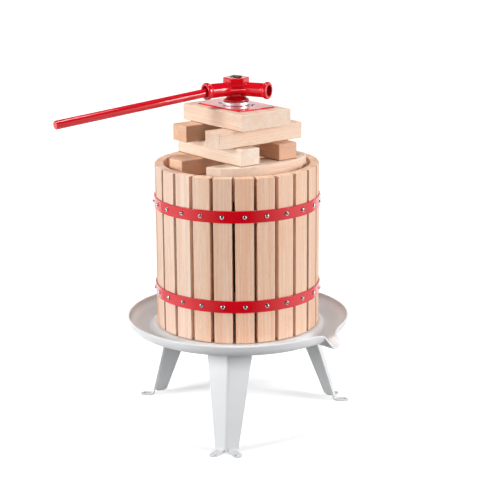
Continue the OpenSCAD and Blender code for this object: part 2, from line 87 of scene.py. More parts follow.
camera = bpy.data.objects.new("camera", bpy.data.cameras.new("camera"))
camera.data.sensor_width = SENSOR_WIDTH
camera.data.lens = FOCAL_PIXELS / PICTURE_PIXELS * SENSOR_WIDTH
camera.location = CAMERA_PLACE
camera.rotation_euler = camera_turn(CAMERA_PAN, CAMERA_TILT, CAMERA_ROLL).to_euler()
bpy.context.scene.collection.objects.link(camera)
bpy.context.scene.camera = camera
print("lens:", round(camera.data.lens, 1), "mm")

# %% [markdown]
# A finish in Blender is a small graph of nodes. The calls to build one are long, so a
# short helper keeps a material's graph in hand. It makes a node, sets its plain
# values, and joins a socket to another in one line.


# %% A helper for material graphs
class Graph:
    """The nodes of a material or a world, with short calls that add to them."""

    def __init__(self, tree):
        self.nodes = tree.nodes
        self.links = tree.links

    def node(self, kind, sockets=None, **settings):
        """A new node of this kind, with its settings and its input sockets filled."""
        made = self.nodes.new(kind)
        for name, value in settings.items():
            setattr(made, name, value)
        for name, value in (sockets or {}).items():
            self.feed(made, name, value)
        return made

    def feed(self, node, name, value):
        """Joins a socket to value, or sets its number."""
        if isinstance(value, bpy.types.NodeSocket):
            self.links.new(value, node.inputs[name])
        else:
            node.inputs[name].default_value = value

    def reckon(self, operation, first, second=0.0):
        """One step of arithmetic on sockets or numbers."""
        return self.node("ShaderNodeMath", {0: first, 1: second}, operation=operation).outputs[0]

    def scaled(self, place, scale):
        """A place stretched by a factor along each axis."""
        return self.node("ShaderNodeVectorMath", {0: place, 1: scale}, operation="MULTIPLY").outputs[0]

    def noise(self, place, scale, detail=2.0, roughness=0.5):
        """Soft noise between 0 and 1, whose grains are 1/scale long along each axis."""
        made = self.node("ShaderNodeTexNoise", {"Vector": self.scaled(place, scale), "Scale": 1.0,
                                                "Detail": detail, "Roughness": roughness})
        return made.outputs["Fac"]

    def ramp(self, value, low, high, to_low=0.0, to_high=1.0):
        """value from low..high, spread over to_low..to_high and held there."""
        made = self.node("ShaderNodeMapRange", {"Value": value, "From Min": low, "From Max": high,
                                                "To Min": to_low, "To Max": to_high}, clamp=True)
        return made.outputs["Result"]

    def blend(self, share, first, second, how="MIX"):
        """Two colours mixed by share, or multiplied and so on."""
        made = self.node("ShaderNodeMix", data_type="RGBA", blend_type=how)
        self.feed(made, 0, share)
        self.feed(made, 6, first)
        self.feed(made, 7, second)
        return made.outputs[2]


class Finish(Graph):
    """A material whose colour, gloss and relief one graph makes."""

    def __init__(self, name):
        self.material = bpy.data.materials.new(name)
        self.material.use_nodes = True
        super().__init__(self.material.node_tree)
        self.shader = self.nodes["Principled BSDF"]

    def own_place(self):
        """Where a point lies on its own piece, in metres."""
        return self.node("ShaderNodeTexCoord").outputs["Object"]

    def surface(self, **sockets):
        """Fills the shader's own sockets. An underscore in a name stands for a space."""
        for name, value in sockets.items():
            self.feed(self.shader, name.replace("_", " "), value)

    def bump(self, height, depth, strength):
        """Shapes the light by a height between 0 and 1, which is depth metres high."""
        made = self.node("ShaderNodeBump", {"Height": height, "Distance": depth, "Strength": strength})
        self.feed(self.shader, "Normal", made.outputs["Normal"])


def colour(red, green, blue):
    """A colour written as the eye's values 0 to 255, turned into light."""
    def light(value):
        share = value / 255
        return share / 12.92 if share <= 0.04045 else ((share + 0.055) / 1.055) ** 2.4
    return (light(red), light(green), light(blue), 1.0)


print("graph helper ready")

# %% [markdown]
# Beech is a pale, pinkish wood. A picture of it could be wrapped on, but then every
# stave would look alike and the ends would show no rings. Here the wood is solid:
# each piece carries a note of how it was sawn from its log, and the graph works out
# rings, fibres and the short dark flecks of beech from that place in the log. The
# ends of a piece then show end grain by themselves. In narrow gaps a painted shade
# turns the wood a deep reddish brown, by how little open space there is before each point.

# %% Beech
RING_WIDTH = 3.2 * MM
RING_WANDER = 6 * MM
CREVICE_SHADE_REACH = 6 * MM
BEECH = {"pale": colour(249, 220, 198), "warm": colour(243, 201, 172), "fibre": colour(229, 173, 138),
         "late_wood": colour(219, 160, 123), "blotch": colour(232, 168, 128),
         "fleck": colour(172, 106, 70), "pore": colour(186, 120, 84), "painted_crevice_shade": colour(118, 50, 24)}


def beech_finish():
    """Planed, unvarnished beech, with painted shade in narrow gaps. Reads where each point lay in the log,
    and the piece's tint, its own tone with painted light and shade on some pieces.
    """
    f = Finish("beech")
    log = f.node("ShaderNodeAttribute", attribute_name="log").outputs["Vector"]
    tone_and_painted_light = f.node("ShaderNodeAttribute", attribute_name="tone_and_painted_light").outputs["Color"]
    axes = f.node("ShaderNodeSeparateXYZ", {0: log}).outputs
    wander = f.ramp(f.noise(log, (3, 18, 18)), 0, 1, -RING_WANDER, RING_WANDER)
    bent = f.reckon("ADD", axes["Y"], wander)
    out = f.reckon("SQRT", f.reckon("ADD", f.reckon("MULTIPLY", bent, bent),
                                    f.reckon("MULTIPLY", axes["Z"], axes["Z"])))
    ring = f.reckon("FRACT", f.reckon("DIVIDE", out, RING_WIDTH))
    streak = f.noise(log, (2.2, 55, 55), 3, 0.55)
    fibre = f.noise(log, (14, 700, 700), 4, 0.62)
    fleck = f.ramp(f.noise(log, (260, 1500, 1500), 1), 0.66, 0.74)
    stains = (("fibre", f.ramp(fibre, 0.35, 0.68, 0.0, 0.5)),
              ("late_wood", f.ramp(ring, 0.55, 1.0, 0.0, 0.26)),
              ("blotch", f.ramp(f.noise(log, (9, 34, 34), 3, 0.6), 0.54, 0.74, 0.0, 0.3)),
              ("fleck", f.reckon("MULTIPLY", fleck, 0.38)),
              ("pore", f.ramp(f.noise(log, (60, 2600, 2600), 1), 0.60, 0.72, 0.0, 0.24)))
    tone = f.blend(f.ramp(streak, 0.32, 0.70), BEECH["pale"], BEECH["warm"])
    for name, share in stains:
        tone = f.blend(share, tone, BEECH[name])
    # The tint holds the piece's own tone, and on the listed pieces also painted light and shade.
    tone = f.blend(1.0, tone, tone_and_painted_light, "MULTIPLY")
    # Painted shade: where little open space lies before a point, in gaps and joints, the wood darkens
    # towards a deep reddish brown.
    open_space = f.node("ShaderNodeAmbientOcclusion", {"Distance": CREVICE_SHADE_REACH}, samples=8).outputs["AO"]
    f.surface(Base_Color=f.blend(f.ramp(open_space, 0.1, 0.7, 0.8, 0.0), tone, BEECH["painted_crevice_shade"]),
              Roughness=f.ramp(fibre, 0.3, 0.7, 0.46, 0.66), Specular_IOR_Level=0.35)
    f.bump(f.reckon("SUBTRACT", fibre, f.reckon("MULTIPLY", fleck, 0.5)), 0.12 * MM, 0.5)
    return f.material


beech = beech_finish()
print("finish:", beech.name, "with", len(beech.node_tree.nodes), "nodes")

# %% [markdown]
# The hoops, head, bar and pressure plate are steel and iron under a gloss powder
# coat. Powder flows a little unevenly as it melts, so the coat has a faint orange peel
# that breaks up the edge of each highlight. That needs a clear coat layer over a red
# base, with the peel as a bump, and slightly deeper colour where the coat is thick.
# The enamel and the steels below are built up alike, so one function makes them all.


# %% Red powder coat
def grained_finish(name, tones, cloud, grain, gloss, relief, **sockets):
    """A finish clouded between two tones, with a fine grain in its gloss and its relief."""
    f = Finish(name)
    place = f.own_place()
    fine = f.noise(place, *grain)
    mottle = f.ramp(f.noise(place, *cloud), 0.3, 0.7)
    f.surface(Base_Color=f.blend(mottle, *tones), Roughness=f.ramp(fine, *gloss), **sockets)
    f.bump(fine, *relief)
    return f.material


red_paint = grained_finish(
    "red_powder_coat", tones=(colour(222, 8, 30), colour(213, 6, 26)), cloud=((22, 22, 22), 2),
    grain=((420, 420, 420), 2, 0.4), gloss=(0.2, 0.8, 0.26, 0.34), relief=(0.05 * MM, 0.35),
    Coat_Weight=1.0, Coat_Roughness=0.03, Specular_IOR_Level=0.1)
print("finish:", red_paint.name)

# %% [markdown]
# The tray and legs are pressed steel under a white satin enamel. It is duller than the
# red coat, with a soft sheen, and its colour is a neutral white that thins towards grey
# where the sheet was drawn. A wide, soft noise gives that, and a fine one the satin.

# %% White enamel
white_enamel = grained_finish(
    "white_enamel", tones=(colour(235, 236, 237), colour(228, 229, 231)), cloud=((11, 11, 11), 3),
    grain=((650, 650, 650), 2), gloss=(0.2, 0.8, 0.30, 0.42), relief=(0.03 * MM, 0.3),
    Coat_Weight=0.15, Coat_Roughness=0.25)
print("finish:", white_enamel.name)

# %% [markdown]
# Screws and nuts are bright zinc plated steel, the thrust ring is a paler satin one,
# and the spindle is a darker, oiled steel. All are metals, so their colour is in the
# reflection and the detail is in the roughness: faint level marks, as a lathe leaves
# them on a piece that stands upright.


# %% Bright and dark steel
def steel_finish(name, tones, gloss):
    """Bare metal with fine scratches."""
    return grained_finish(name, tones, cloud=((60, 60, 60), 3), grain=((90, 90, 2600), 3, 0.6),
                          gloss=(0.25, 0.75, *gloss), relief=(0.02 * MM, 0.4), Metallic=1.0)


bright_steel = steel_finish("bright_steel", (colour(214, 215, 217), colour(190, 191, 194)), (0.16, 0.30))
satin_steel = steel_finish("satin_steel", (colour(240, 240, 244), colour(228, 228, 234)), (0.40, 0.52))
dark_steel = steel_finish("oiled_steel", (colour(104, 102, 100), colour(72, 70, 69)), (0.28, 0.46))

# %% [markdown]
# Meshes are made by a few plain helpers. A turned piece is a profile swept round an
# axis, as on a lathe. A stack of outlines makes anything whose section changes along
# its height. Both come down to rings of points joined by faces, so one function does
# that for all of them.

# %% Helpers for meshes
CORNERS = ((1, 1), (-1, 1), (-1, -1), (1, -1))
OVERRUN = 1 * MM


def loose(name, bm):
    """A bmesh as an object without finish or body."""
    bmesh.ops.recalc_face_normals(bm, faces=bm.faces)
    mesh = bpy.data.meshes.new(name)
    bm.to_mesh(mesh)
    bm.free()
    made = bpy.data.objects.new(name, mesh)
    bpy.context.scene.collection.objects.link(made)
    return made


def dressed(piece, material, body, node, smooth_angle=38):
    """Gives a piece its finish, its body and the node that it stands for."""
    piece.data.materials.clear()
    piece.data.materials.append(material)
    piece.data.shade_smooth()
    piece.data.set_sharp_from_angle(angle=math.radians(smooth_angle))
    flat = piece.modifiers.new("flat_faces", "WEIGHTED_NORMAL")
    flat.keep_sharp = True
    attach(piece, body)
    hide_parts(node)
    return piece


def bridge(bm, rings, closed_rows=True, closed_around=True):
    """Faces between rings of vertices, each with as many points as the next."""
    count = len(rings[0])
    for low, high in zip(rings, rings[1:] + rings[:1] if closed_rows else rings[1:]):
        for i in range(count if closed_around else count - 1):
            j = (i + 1) % count
            bm.faces.new((low[i], low[j], high[j], high[i]))


def stacked(bm, outlines, turn=Matrix.Identity(4), ring=False):
    """Joins outlines, lists of (x, y, z) points, into a closed solid, or into a ring without ends."""
    rings = [[bm.verts.new(turn @ Vector(place)) for place in outline] for outline in outlines]
    bridge(bm, rings, closed_rows=ring)
    if not ring:
        bm.faces.new(rings[0])
        bm.faces.new(rings[-1])


def turned(bm, profile, steps, turn=Matrix.Identity(4), ring=False):
    """Sweeps (radius, height) points round the Z axis of turn. A ring's profile closes on itself."""
    angles = [math.tau * i / steps for i in range(steps)]
    stacked(bm, [[(radius * math.cos(a), radius * math.sin(a), height) for a in angles]
                 for radius, height in profile], turn, ring)


def prism(outline, levels, turn=Matrix.Identity(4)):
    """An outline raised through some levels."""
    bm = bmesh.new()
    stacked(bm, [[(place[0], place[1], z) for place in outline] for z in levels], turn)
    return bm


def rod(place, radius, low, high, steps=32):
    """An upright cylinder, used as a drill."""
    bm = bmesh.new()
    turned(bm, [(radius, low), (radius, high)], steps, Matrix.Translation((place.x, place.y, 0)))
    return bm


def about_z(degrees):
    """A turn about the spindle."""
    return Matrix.Rotation(math.radians(degrees), 4, "Z")


def arc(centre, radius, start, end, steps):
    """Points on an arc in (x, y), with its angles in degrees."""
    angles = [math.radians(start + (end - start) * i / steps) for i in range(steps + 1)]
    return [(centre[0] + radius * math.cos(a), centre[1] + radius * math.sin(a)) for a in angles]


def eased_outline(long, wide, ease, inset=0.0, steps=4):
    """A rectangle with rounded corners, drawn in by inset."""
    points = []
    for corner, (x, y) in enumerate(CORNERS):
        points += arc((x * (long / 2 - ease), y * (wide / 2 - ease)), ease - inset,
                      90 * corner, 90 * corner + 90, steps)
    return points


print("helpers for meshes ready")

# %% [markdown]
# A visible piece has to sit exactly where the construction puts it. Its place and size
# could be typed in again, but they are measured on the frame instead, as a joiner
# measures the opening before cutting the board.


# %% Helpers that measure the frame
def middle(node):
    """The middle of a node's box."""
    low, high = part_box(node)
    return (low + high) / 2


def facing_of(place):
    """The direction of a place from the spindle, in degrees."""
    return math.degrees(math.atan2(place.y, place.x))


def span(node, axis):
    """How far a node reaches along an axis, as (lowest, highest)."""
    places = [v.co.dot(axis) for v in frame["nodes"][node].data.vertices]
    return min(places), max(places)


print("basket across:", round(2 * span("hoop_upper", Vector((1, 0, 0)))[1], 4), "m over its hoop")

# %% [markdown]
# Holes are cut afterwards with a drill, as in the workshop, by Blender's exact Boolean,
# and edges are eased last by its Bevel. Both are modifiers, and they are applied at
# once, so that the next step meets a plain mesh.


# %% Helpers that drill and ease
def settle(piece):
    """Applies a piece's modifiers."""
    bpy.context.view_layer.update()
    graph = bpy.context.evaluated_depsgraph_get()
    made = bpy.data.meshes.new_from_object(piece.evaluated_get(graph))
    piece.modifiers.clear()
    old = piece.data
    piece.data = made
    bpy.data.meshes.remove(old)


def drilled(piece, cutters):
    """Cuts closed bmesh solids out of a piece."""
    drills = [loose("drill", cutter) for cutter in cutters]
    for drill in drills:
        cut = piece.modifiers.new("drill", "BOOLEAN")
        cut.object = drill
        cut.solver = "EXACT"
    settle(piece)
    for drill in drills:
        bpy.data.objects.remove(drill)
    return piece


def eased(piece, width, least_turn=40, segments=2):
    """Rounds the edges where a piece's faces turn by more than an angle."""
    edge = piece.modifiers.new("edge", "BEVEL")
    edge.width = width
    edge.segments = segments
    edge.limit_method = "ANGLE"
    edge.angle_limit = math.radians(least_turn)
    settle(piece)
    return piece


print("drill and bevel ready")

# %% [markdown]
# A log note goes on every wooden piece. It turns each point into a place in an
# imagined log: along the trunk, and across it from the heart. The heart lies a hand's
# breadth away on a side that chance chooses, so some faces show plain stripes and
# some show arches. A fixed seed keeps the same boards on every run.

# %% Sawing wooden pieces from their logs
boards = random.Random(11)


def sawn(piece, grain, across, tone_and_painted_light=None):
    """Writes where each point lay in the log, and the piece's tint: its own tone, and on listed pieces also
    painted light and shade.
    """
    third = grain.cross(across)
    heart_angle = boards.uniform(0, math.tau)
    heart = boards.uniform(45, 110) * MM
    start = boards.uniform(0, 40)
    shade = boards.uniform(0.955, 1.0)
    blush = boards.uniform(-0.012, 0.012)
    tone_and_painted_light = tone_and_painted_light or (shade + blush, shade, shade - 1.6 * blush)
    places, tones_and_painted_light = [], []
    for vertex in piece.data.vertices:
        places += [vertex.co.dot(grain) + start,
                   vertex.co.dot(across) + heart * math.cos(heart_angle),
                   vertex.co.dot(third) + heart * math.sin(heart_angle)]
        tones_and_painted_light += [*tone_and_painted_light, 1.0]
    piece.data.attributes.new("log", "FLOAT_VECTOR", "POINT").data.foreach_set("vector", places)
    piece.data.attributes.new("tone_and_painted_light", "FLOAT_COLOR", "POINT").data.foreach_set("color", tones_and_painted_light)
    return piece


print("boards ready")

# %% [markdown]
# The basket is a ring of 24 staves. A stave is planed on four sides, its long edges
# are eased, and its ends are sawn square with a light break of the edge. A bevelled
# cube would round the ends as much as the sides, so the stave is a stack of outlines:
# a smaller one at each end, and the full one just inside. The staves that the camera
# sees get the tints that the photograph shows, from greyer tan to pinker. These hold
# the wood's own tone and also painted light and shade.

# %% Staves
STAVE_WIDTH = 29.5 * MM
STAVE_EASE = 0.9 * MM
END_BREAK = 0.7 * MM
# Tints of the seen staves: the wood's own tone with painted light and shade, paler on brightly lit staves
# and warmer on shaded ones.
STAVE_TONE_AND_PAINTED_LIGHT = {
    "stave_20": (0.95, 1.03, 1.11),
    "stave_21": (0.96, 1.05, 1.14),
    "stave_22": (1.0, 1.12, 1.22),
    "stave_23": (1.01, 1.02, 1.02),
    "stave_24": (1.01, 1.02, 1.02),
    "stave_01": (1.03, 0.98, 0.94),
    "stave_02": (1.05, 1.04, 1.02),
    "stave_03": (1.02, 1.04, 1.05),
    "stave_04": (0.98, 1.0, 1.0),
}


def make_stave(node):
    """One stave, where its node is."""
    low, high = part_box(node)
    centre = middle(node)
    turn = Matrix.Translation((centre.x, centre.y, 0)) @ about_z(facing_of(centre))
    outward, sideways = turn.col[0].xyz, turn.col[1].xyz
    inner, outer = span(node, outward)
    ends = [(low.z, END_BREAK), (low.z + END_BREAK, 0), (high.z - END_BREAK, 0), (high.z, END_BREAK)]
    bm = bmesh.new()
    stacked(bm, [[(x, y, z) for x, y in eased_outline(outer - inner, STAVE_WIDTH, STAVE_EASE, inset)]
                 for z, inset in ends], turn)
    piece = dressed(loose(node + "_wood", bm), beech, "basket", node)
    return sawn(piece, Vector((0, 0, 1)), sideways, STAVE_TONE_AND_PAINTED_LIGHT.get(node))


stave_nodes = sorted(node for node in frame["nodes"] if node.startswith("stave_"))
staves = [make_stave(node) for node in stave_nodes]
print("staves:", len(staves))

# %% [markdown]
# A hoop is a flat steel strap, bent to a ring and held by one screw in each stave.
# Its edges are slightly round from rolling, and the powder coat rounds them more, so
# the strap's section is a rounded rectangle turned about the spindle. The hidden
# washer, spacer and plate under the tray are rings of the same kind.

# %% Hoops
STRAP_EDGE = 0.7 * MM
STRAP_STEPS = 192


def turned_ring(name, node, inner, material, body, edge, steps=96, smooth_angle=38, outer=None):
    """A ring with rounded edges, as high as its node, and as wide if no outer radius is given."""
    low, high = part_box(node)
    outer = outer or (high.x - low.x) / 2
    section = [((inner + outer) / 2 + x, (low.z + high.z) / 2 + y)
               for x, y in eased_outline(outer - inner, high.z - low.z, edge, steps=3)]
    bm = bmesh.new()
    turned(bm, section, steps, ring=True)
    return dressed(loose(name, bm), material, body, node, smooth_angle)


for node in ("hoop_upper", "hoop_lower"):
    strap_inner = min(v.co.xy.length for v in frame["nodes"][node].data.vertices)
    strap_outer = span(node, Vector((1, 0, 0)))[1]
    hoop = turned_ring(node + "_strap", node, strap_inner, red_paint, "basket", STRAP_EDGE,
                       STRAP_STEPS, smooth_angle=50, outer=strap_outer)
    print("hoop:", hoop.name)

# %% [markdown]
# The hoop screws are pan heads with a cross recess, the small bright dots with a dark
# heart that catch the eye. Each could be a plain dome with a dark spot painted on, but
# a real recess gives its own shadow from every side. One screw is turned and its cross
# is cut once. Then it is copied to every stave, all in one mesh for each hoop.

# %% Screws
DOME_SHARES = ((1.0, 0.0), (1.0, 0.32), (0.94, 0.55), (0.80, 0.76), (0.58, 0.91), (0.30, 0.985))
BLADE_LENGTH, BLADE_WIDTH, BLADE_DEPTH = 1.2, 0.42, 0.85
BLADE_FOOT, BLADE_MOUTH = (0.45, 0.35), (0.5, 0.5)
WELL_SHARES = ((0.16, 0.1), (0.40, 1.3))


def cross_blade(head_radius, head_height, quarter):
    """One blade of a cross recess, tapering as it goes down."""
    length, width = head_radius * BLADE_LENGTH, head_radius * BLADE_WIDTH
    depth = head_height * BLADE_DEPTH
    bm = bmesh.new()
    stacked(bm, [[(x * length * long_share, y * width * wide_share, z) for x, y in CORNERS]
                 for (long_share, wide_share), z in ((BLADE_FOOT, head_height - depth),
                                                     (BLADE_MOUTH, head_height + depth))], about_z(quarter))
    return bm


def screw_mesh(head_radius, head_height, shank_radius, shank_length):
    """A pan head screw along +Z, with its head's seat at the origin."""
    bm = bmesh.new()
    turned(bm, [(shank_radius, -shank_length), (shank_radius, 0.0)]
           + [(head_radius * r, head_height * h) for r, h in DOME_SHARES], steps=28)
    well = bmesh.new()
    turned(well, [(head_radius * r, head_height * h) for r, h in WELL_SHARES], steps=16)
    blades = [cross_blade(head_radius, head_height, quarter) for quarter in (0, 90)]
    screw = drilled(loose("screw", bm), blades + [well])
    mesh = screw.data
    bpy.data.objects.remove(screw)
    return mesh


def screw_row(name, node, mesh, places, body):
    """Copies of a screw at each place, as one piece."""
    bm = bmesh.new()
    for place in places:
        first = len(bm.verts)
        bm.from_mesh(mesh)
        bm.verts.ensure_lookup_table()
        bmesh.ops.transform(bm, matrix=place, verts=bm.verts[first:])
    return dressed(loose(name, bm), bright_steel, body, node, smooth_angle=32)


hoop_screw = screw_mesh(head_radius=3.5 * MM, head_height=2.7 * MM,
                        shank_radius=1.7 * MM, shank_length=12 * MM)
hoop_radius = span("hoop_upper", Vector((1, 0, 0)))[1]
for level in ("upper", "lower"):
    on_strap = Matrix.Translation((hoop_radius, 0, middle("hoop_" + level).z))
    places = [about_z(facing_of(middle(node))) @ on_strap @ Matrix.Rotation(math.radians(90), 4, "Y")
              @ about_z(boards.uniform(0, 90)) for node in stave_nodes]
    screw_row("screws_" + level, "hoop_screws_" + level, hoop_screw, places, "basket")
print("screws on each hoop:", len(places))

# %% [markdown]
# The tray is one pressed steel sheet: a raised floor under the basket, a gutter round
# it, a curved wall with a rolled rim, and a spout drawn out of the wall. A Boolean of
# wall and spout would leave hard seams. Here the sheet is one grid of points, a line
# from the middle to the rim swept round. Near the spout, each line slides smoothly
# from the wall's curve to the channel's, as the real sheet is stretched over a die.

# %% Tray sheet
TRAY_SHEET = 1.6 * MM
SEAT_HEIGHT = 168.5 * MM
GUTTER_HEIGHT = 161.0 * MM
RAISED_RADIUS = 139.0 * MM
GUTTER_INNER = 150.0 * MM
GUTTER_OUTER = 164.0 * MM
WALL_TOP = Vector((183.3 * MM, 178.8 * MM))
WALL_STEPS = 12
TRAY_HOLE = 10.05 * MM
FLOOR_RINGS = (60 * MM, 110 * MM)
SPOUT_FACING = -29.9
SPOUT_HALF_ANGLE = 6.5
SPOUT_SIDES, SPOUT_MOUTH = 4.7, 6
SPOUT_SHOULDER = 11.5
SPOUT_SHOULDER_SHARE = 0.3
SPOUT_TIP = Vector((197.5 * MM, 155.8 * MM))
SPOUT_DIP = 1.0 * MM
TRAY_STEPS = 176
SPOUT_STEPS = 60


def floor_line():
    """The sheet's upper face from the spindle hole to the foot of the wall, as (radius, height)."""
    step = [(RAISED_RADIUS + (GUTTER_INNER - RAISED_RADIUS) * s,
             SEAT_HEIGHT - (SEAT_HEIGHT - GUTTER_HEIGHT) * (1 - math.cos(math.pi * s)) / 2)
            for s in (i / 8 for i in range(9))]
    return [(radius, SEAT_HEIGHT) for radius in (TRAY_HOLE, *FLOOR_RINGS)] + step + [
        ((GUTTER_INNER + GUTTER_OUTER) / 2, GUTTER_HEIGHT)]


def outer_line(spout):
    """From the gutter outwards: the wall's quarter of an ellipse, drawn by a share to the spout's floor."""
    line = []
    for s in (i / WALL_STEPS for i in range(WALL_STEPS + 1)):
        a = math.pi / 2 * s
        wall = Vector((GUTTER_OUTER + (WALL_TOP.x - GUTTER_OUTER) * math.sin(a),
                       GUTTER_HEIGHT + (WALL_TOP.y - GUTTER_HEIGHT) * (1 - math.cos(a))))
        channel = Vector((GUTTER_OUTER, GUTTER_HEIGHT)).lerp(SPOUT_TIP, s)
        channel.y -= SPOUT_DIP * math.sin(math.pi * s)
        line.append(tuple(wall.lerp(channel, spout)))
    return line


def spout_share(facing):
    """1 in the middle of the spout, 0 where the wall is plain."""
    away = abs((facing - SPOUT_FACING + 180) % 360 - 180)
    channel = (1 - min(1.0, away / SPOUT_HALF_ANGLE) ** SPOUT_SIDES) ** SPOUT_MOUTH
    near = max(0.0, 1 - away / SPOUT_SHOULDER)
    shoulder = SPOUT_SHOULDER_SHARE * near * near * (3 - 2 * near)
    return channel + (1 - channel) * shoulder


def tray_facings():
    """Directions round the tray, closer together at the spout."""
    reach = SPOUT_SHOULDER + 1
    near = [SPOUT_FACING + reach * (2 * i / SPOUT_STEPS - 1) for i in range(SPOUT_STEPS + 1)]
    rest = (360 - 2 * reach) / (TRAY_STEPS + 1)
    return near + [SPOUT_FACING + reach + rest * (i + 1) for i in range(TRAY_STEPS)]


def round_place(facing, radius, height):
    """A point at a direction from the spindle, a radius and a height."""
    a = math.radians(facing)
    return Vector((radius * math.cos(a), radius * math.sin(a), height))


def sheet(name, bm, thickness, outward):
    """A layer of faces as sheet metal. Its faces look outward, and its thickness lies behind them."""
    made = loose(name, bm)
    if sum(face.normal.dot(outward) * face.area for face in made.data.polygons) < 0:
        made.data.flip_normals()
    shell = made.modifiers.new("sheet", "SOLIDIFY")
    shell.thickness = thickness
    shell.offset = -1
    shell.use_even_offset = True
    return made


tray_lines = [[round_place(facing, r, z) for r, z in floor_line() + outer_line(spout_share(facing))]
              for facing in tray_facings()]
bm = bmesh.new()
bridge(bm, [[bm.verts.new(place) for place in line] for line in tray_lines], closed_around=False)
tray_pan = sheet("tray_pan", bm, TRAY_SHEET, Vector((0, 0, 1)))
settle(tray_pan)
dressed(tray_pan, white_enamel, "base", "tray", smooth_angle=60)
print("tray points:", len(tray_pan.data.vertices))

# %% [markdown]
# The rim of the tray is rolled over into a bead, which stiffens it and takes the light
# as one thin bright line, also along the edges of the spout. A curve with a bevel
# would do it. A tube swept in code follows the sheet's own edge point by point, so it
# never parts from it.

# %% Rolled rim
BEAD_RADIUS = 1.7 * MM


def tube(bm, path, radius, sides=12):
    """A closed tube along a closed path of points."""
    rings = []
    for i, place in enumerate(path):
        ahead = (path[(i + 1) % len(path)] - path[i - 1]).normalized()
        side = ahead.cross(Vector((0, 0, 1))).normalized()
        over = side.cross(ahead)
        rings.append([bm.verts.new(place + radius * (math.cos(a) * side + math.sin(a) * over))
                      for a in (math.tau * k / sides for k in range(sides))])
    bridge(bm, rings)


rim_path = [line[-1] for line in tray_lines]
bm = bmesh.new()
tube(bm, rim_path, BEAD_RADIUS)
dressed(loose("tray_rim", bm), white_enamel, "base", "tray", smooth_angle=60)
print("rim length:", round(sum((a - b).length for a, b in zip(rim_path, rim_path[1:])), 3), "m")

# %% [markdown]
# A leg is a flat blank of steel, folded once down its middle, with a tab at each foot
# bent out to the floor. It is made in the same way here: a single layer of faces is
# laid out row by row, given its thickness, drilled, and its edges broken. That
# keeps the soft fold and the soft bends, which sharp solids would lack.

# %% Leg blank
LEG_TOP = 159.4 * MM
LEG_FOOT_RADIUS = 188.0 * MM
LEG_TOP_RADIUS = 142.0 * MM
LEG_FOOT_HALF = 18.4 * MM
LEG_TOP_HALF = 38.0 * MM
LEG_LEAN = math.atan((LEG_FOOT_RADIUS - LEG_TOP_RADIUS) / LEG_TOP)
LEG_ROWS = 8
HALF_FOLD = math.radians(57.5)
FOLD_RADIUS = 6.0 * MM
FOLD_STEPS = 8
FLANGE_FOOT = 5.0 * MM
TAB_START = 10.5 * MM
TAB_HALF = 8.0 * MM
TAB_SHARES = (-0.6, -0.2, 0.2, 0.6, 1.0)


def flange_point(side, along, height):
    """A point of the leg's outer face: along its flange from the fold's corner, at a height."""
    corner = LEG_FOOT_RADIUS - along * math.cos(HALF_FOLD) / math.cos(LEG_LEAN)
    return Vector((corner - height * math.tan(LEG_LEAN), side * along * math.sin(HALF_FOLD), height))


def fold_point(share, height):
    """A point of the rounded fold, share -1 to 1 across it, at a height."""
    swing = (math.pi / 2 - HALF_FOLD) * share
    back = (FOLD_RADIUS * math.cos(swing) - FOLD_RADIUS / math.sin(HALF_FOLD)) / math.cos(LEG_LEAN)
    return Vector((LEG_FOOT_RADIUS + back - height * math.tan(LEG_LEAN),
                   FOLD_RADIUS * math.sin(swing), height))


def leg_row(height):
    """The points across the leg at a height, from one edge over the fold to the other."""
    tab_middle = LEG_FOOT_HALF / 2 / math.sin(HALF_FOLD)
    edge = (LEG_FOOT_HALF + (LEG_TOP_HALF - LEG_FOOT_HALF) * height / LEG_TOP) / math.sin(HALF_FOLD)
    columns = ([FOLD_RADIUS / math.tan(HALF_FOLD)]
               + [tab_middle + TAB_HALF * share for share in TAB_SHARES] + [edge])
    left, right = ([flange_point(side, along, height) for along in columns] for side in (-1, 1))
    fold = [fold_point(2 * i / FOLD_STEPS - 1, height) for i in range(1, FOLD_STEPS)]
    return left[::-1] + fold + right


def leg_blank():
    """One layer of faces. In the lowest row, the tabs are cut free from the flanges."""
    bm = bmesh.new()
    rise = LEG_TOP - TAB_START
    heights = [FLANGE_FOOT] + [TAB_START + rise * i / LEG_ROWS for i in range(LEG_ROWS + 1)]
    rows = [[bm.verts.new(place) for place in leg_row(height)] for height in heights]
    last = len(rows[0]) - 1
    tab = len(TAB_SHARES)
    cut_free = [*range(1, tab + 1), *range(last - 1 - tab, last - 1)]
    for row, (low, high) in enumerate(zip(rows, rows[1:])):
        for i in range(last):
            if row > 0 or i not in cut_free:
                bm.faces.new((low[i], low[i + 1], high[i + 1], high[i]))
    add_tab(bm, rows[1][tab + 1:0:-1], -1)
    add_tab(bm, rows[1][last - 1 - tab:last], 1)
    bmesh.ops.delete(bm, geom=[v for v in bm.verts if not v.link_faces], context="VERTS")
    return bm


print("leg leans by", round(math.degrees(LEG_LEAN), 1), "degrees")

# %% [markdown]
# Each flange of a leg ends in a foot tab with a screw hole. The tab is bent out over a
# round edge, so it leaves the flange on an arc and not at a crease. Its rows of points
# follow that arc, run out flat on the floor, and end in a half round beyond the hole.

# %% Foot tabs
LEG_SHEET = 2.5 * MM
TAB_REACH = 14.0 * MM
TAB_BEND = 6.0 * MM
TAB_BEND_STEPS = 6
TAB_FULLNESS = 0.98
TAB_HALFWAY = 0.55
TAB_ROUND = (0.35, 0.62, 0.82, 0.94)


def tab_hole_place(side):
    """The middle of a foot tab's hole on the floor."""
    along = LEG_FOOT_HALF / 2
    foot = Vector((LEG_FOOT_RADIUS - along / math.tan(HALF_FOLD), side * along, 0))
    return foot + TAB_REACH * Vector((math.sin(HALF_FOLD), side * math.cos(HALF_FOLD), 0))


def square_to(direction, along):
    """A direction without its part along another, one unit long."""
    return (direction - direction.dot(along) * along).normalized()


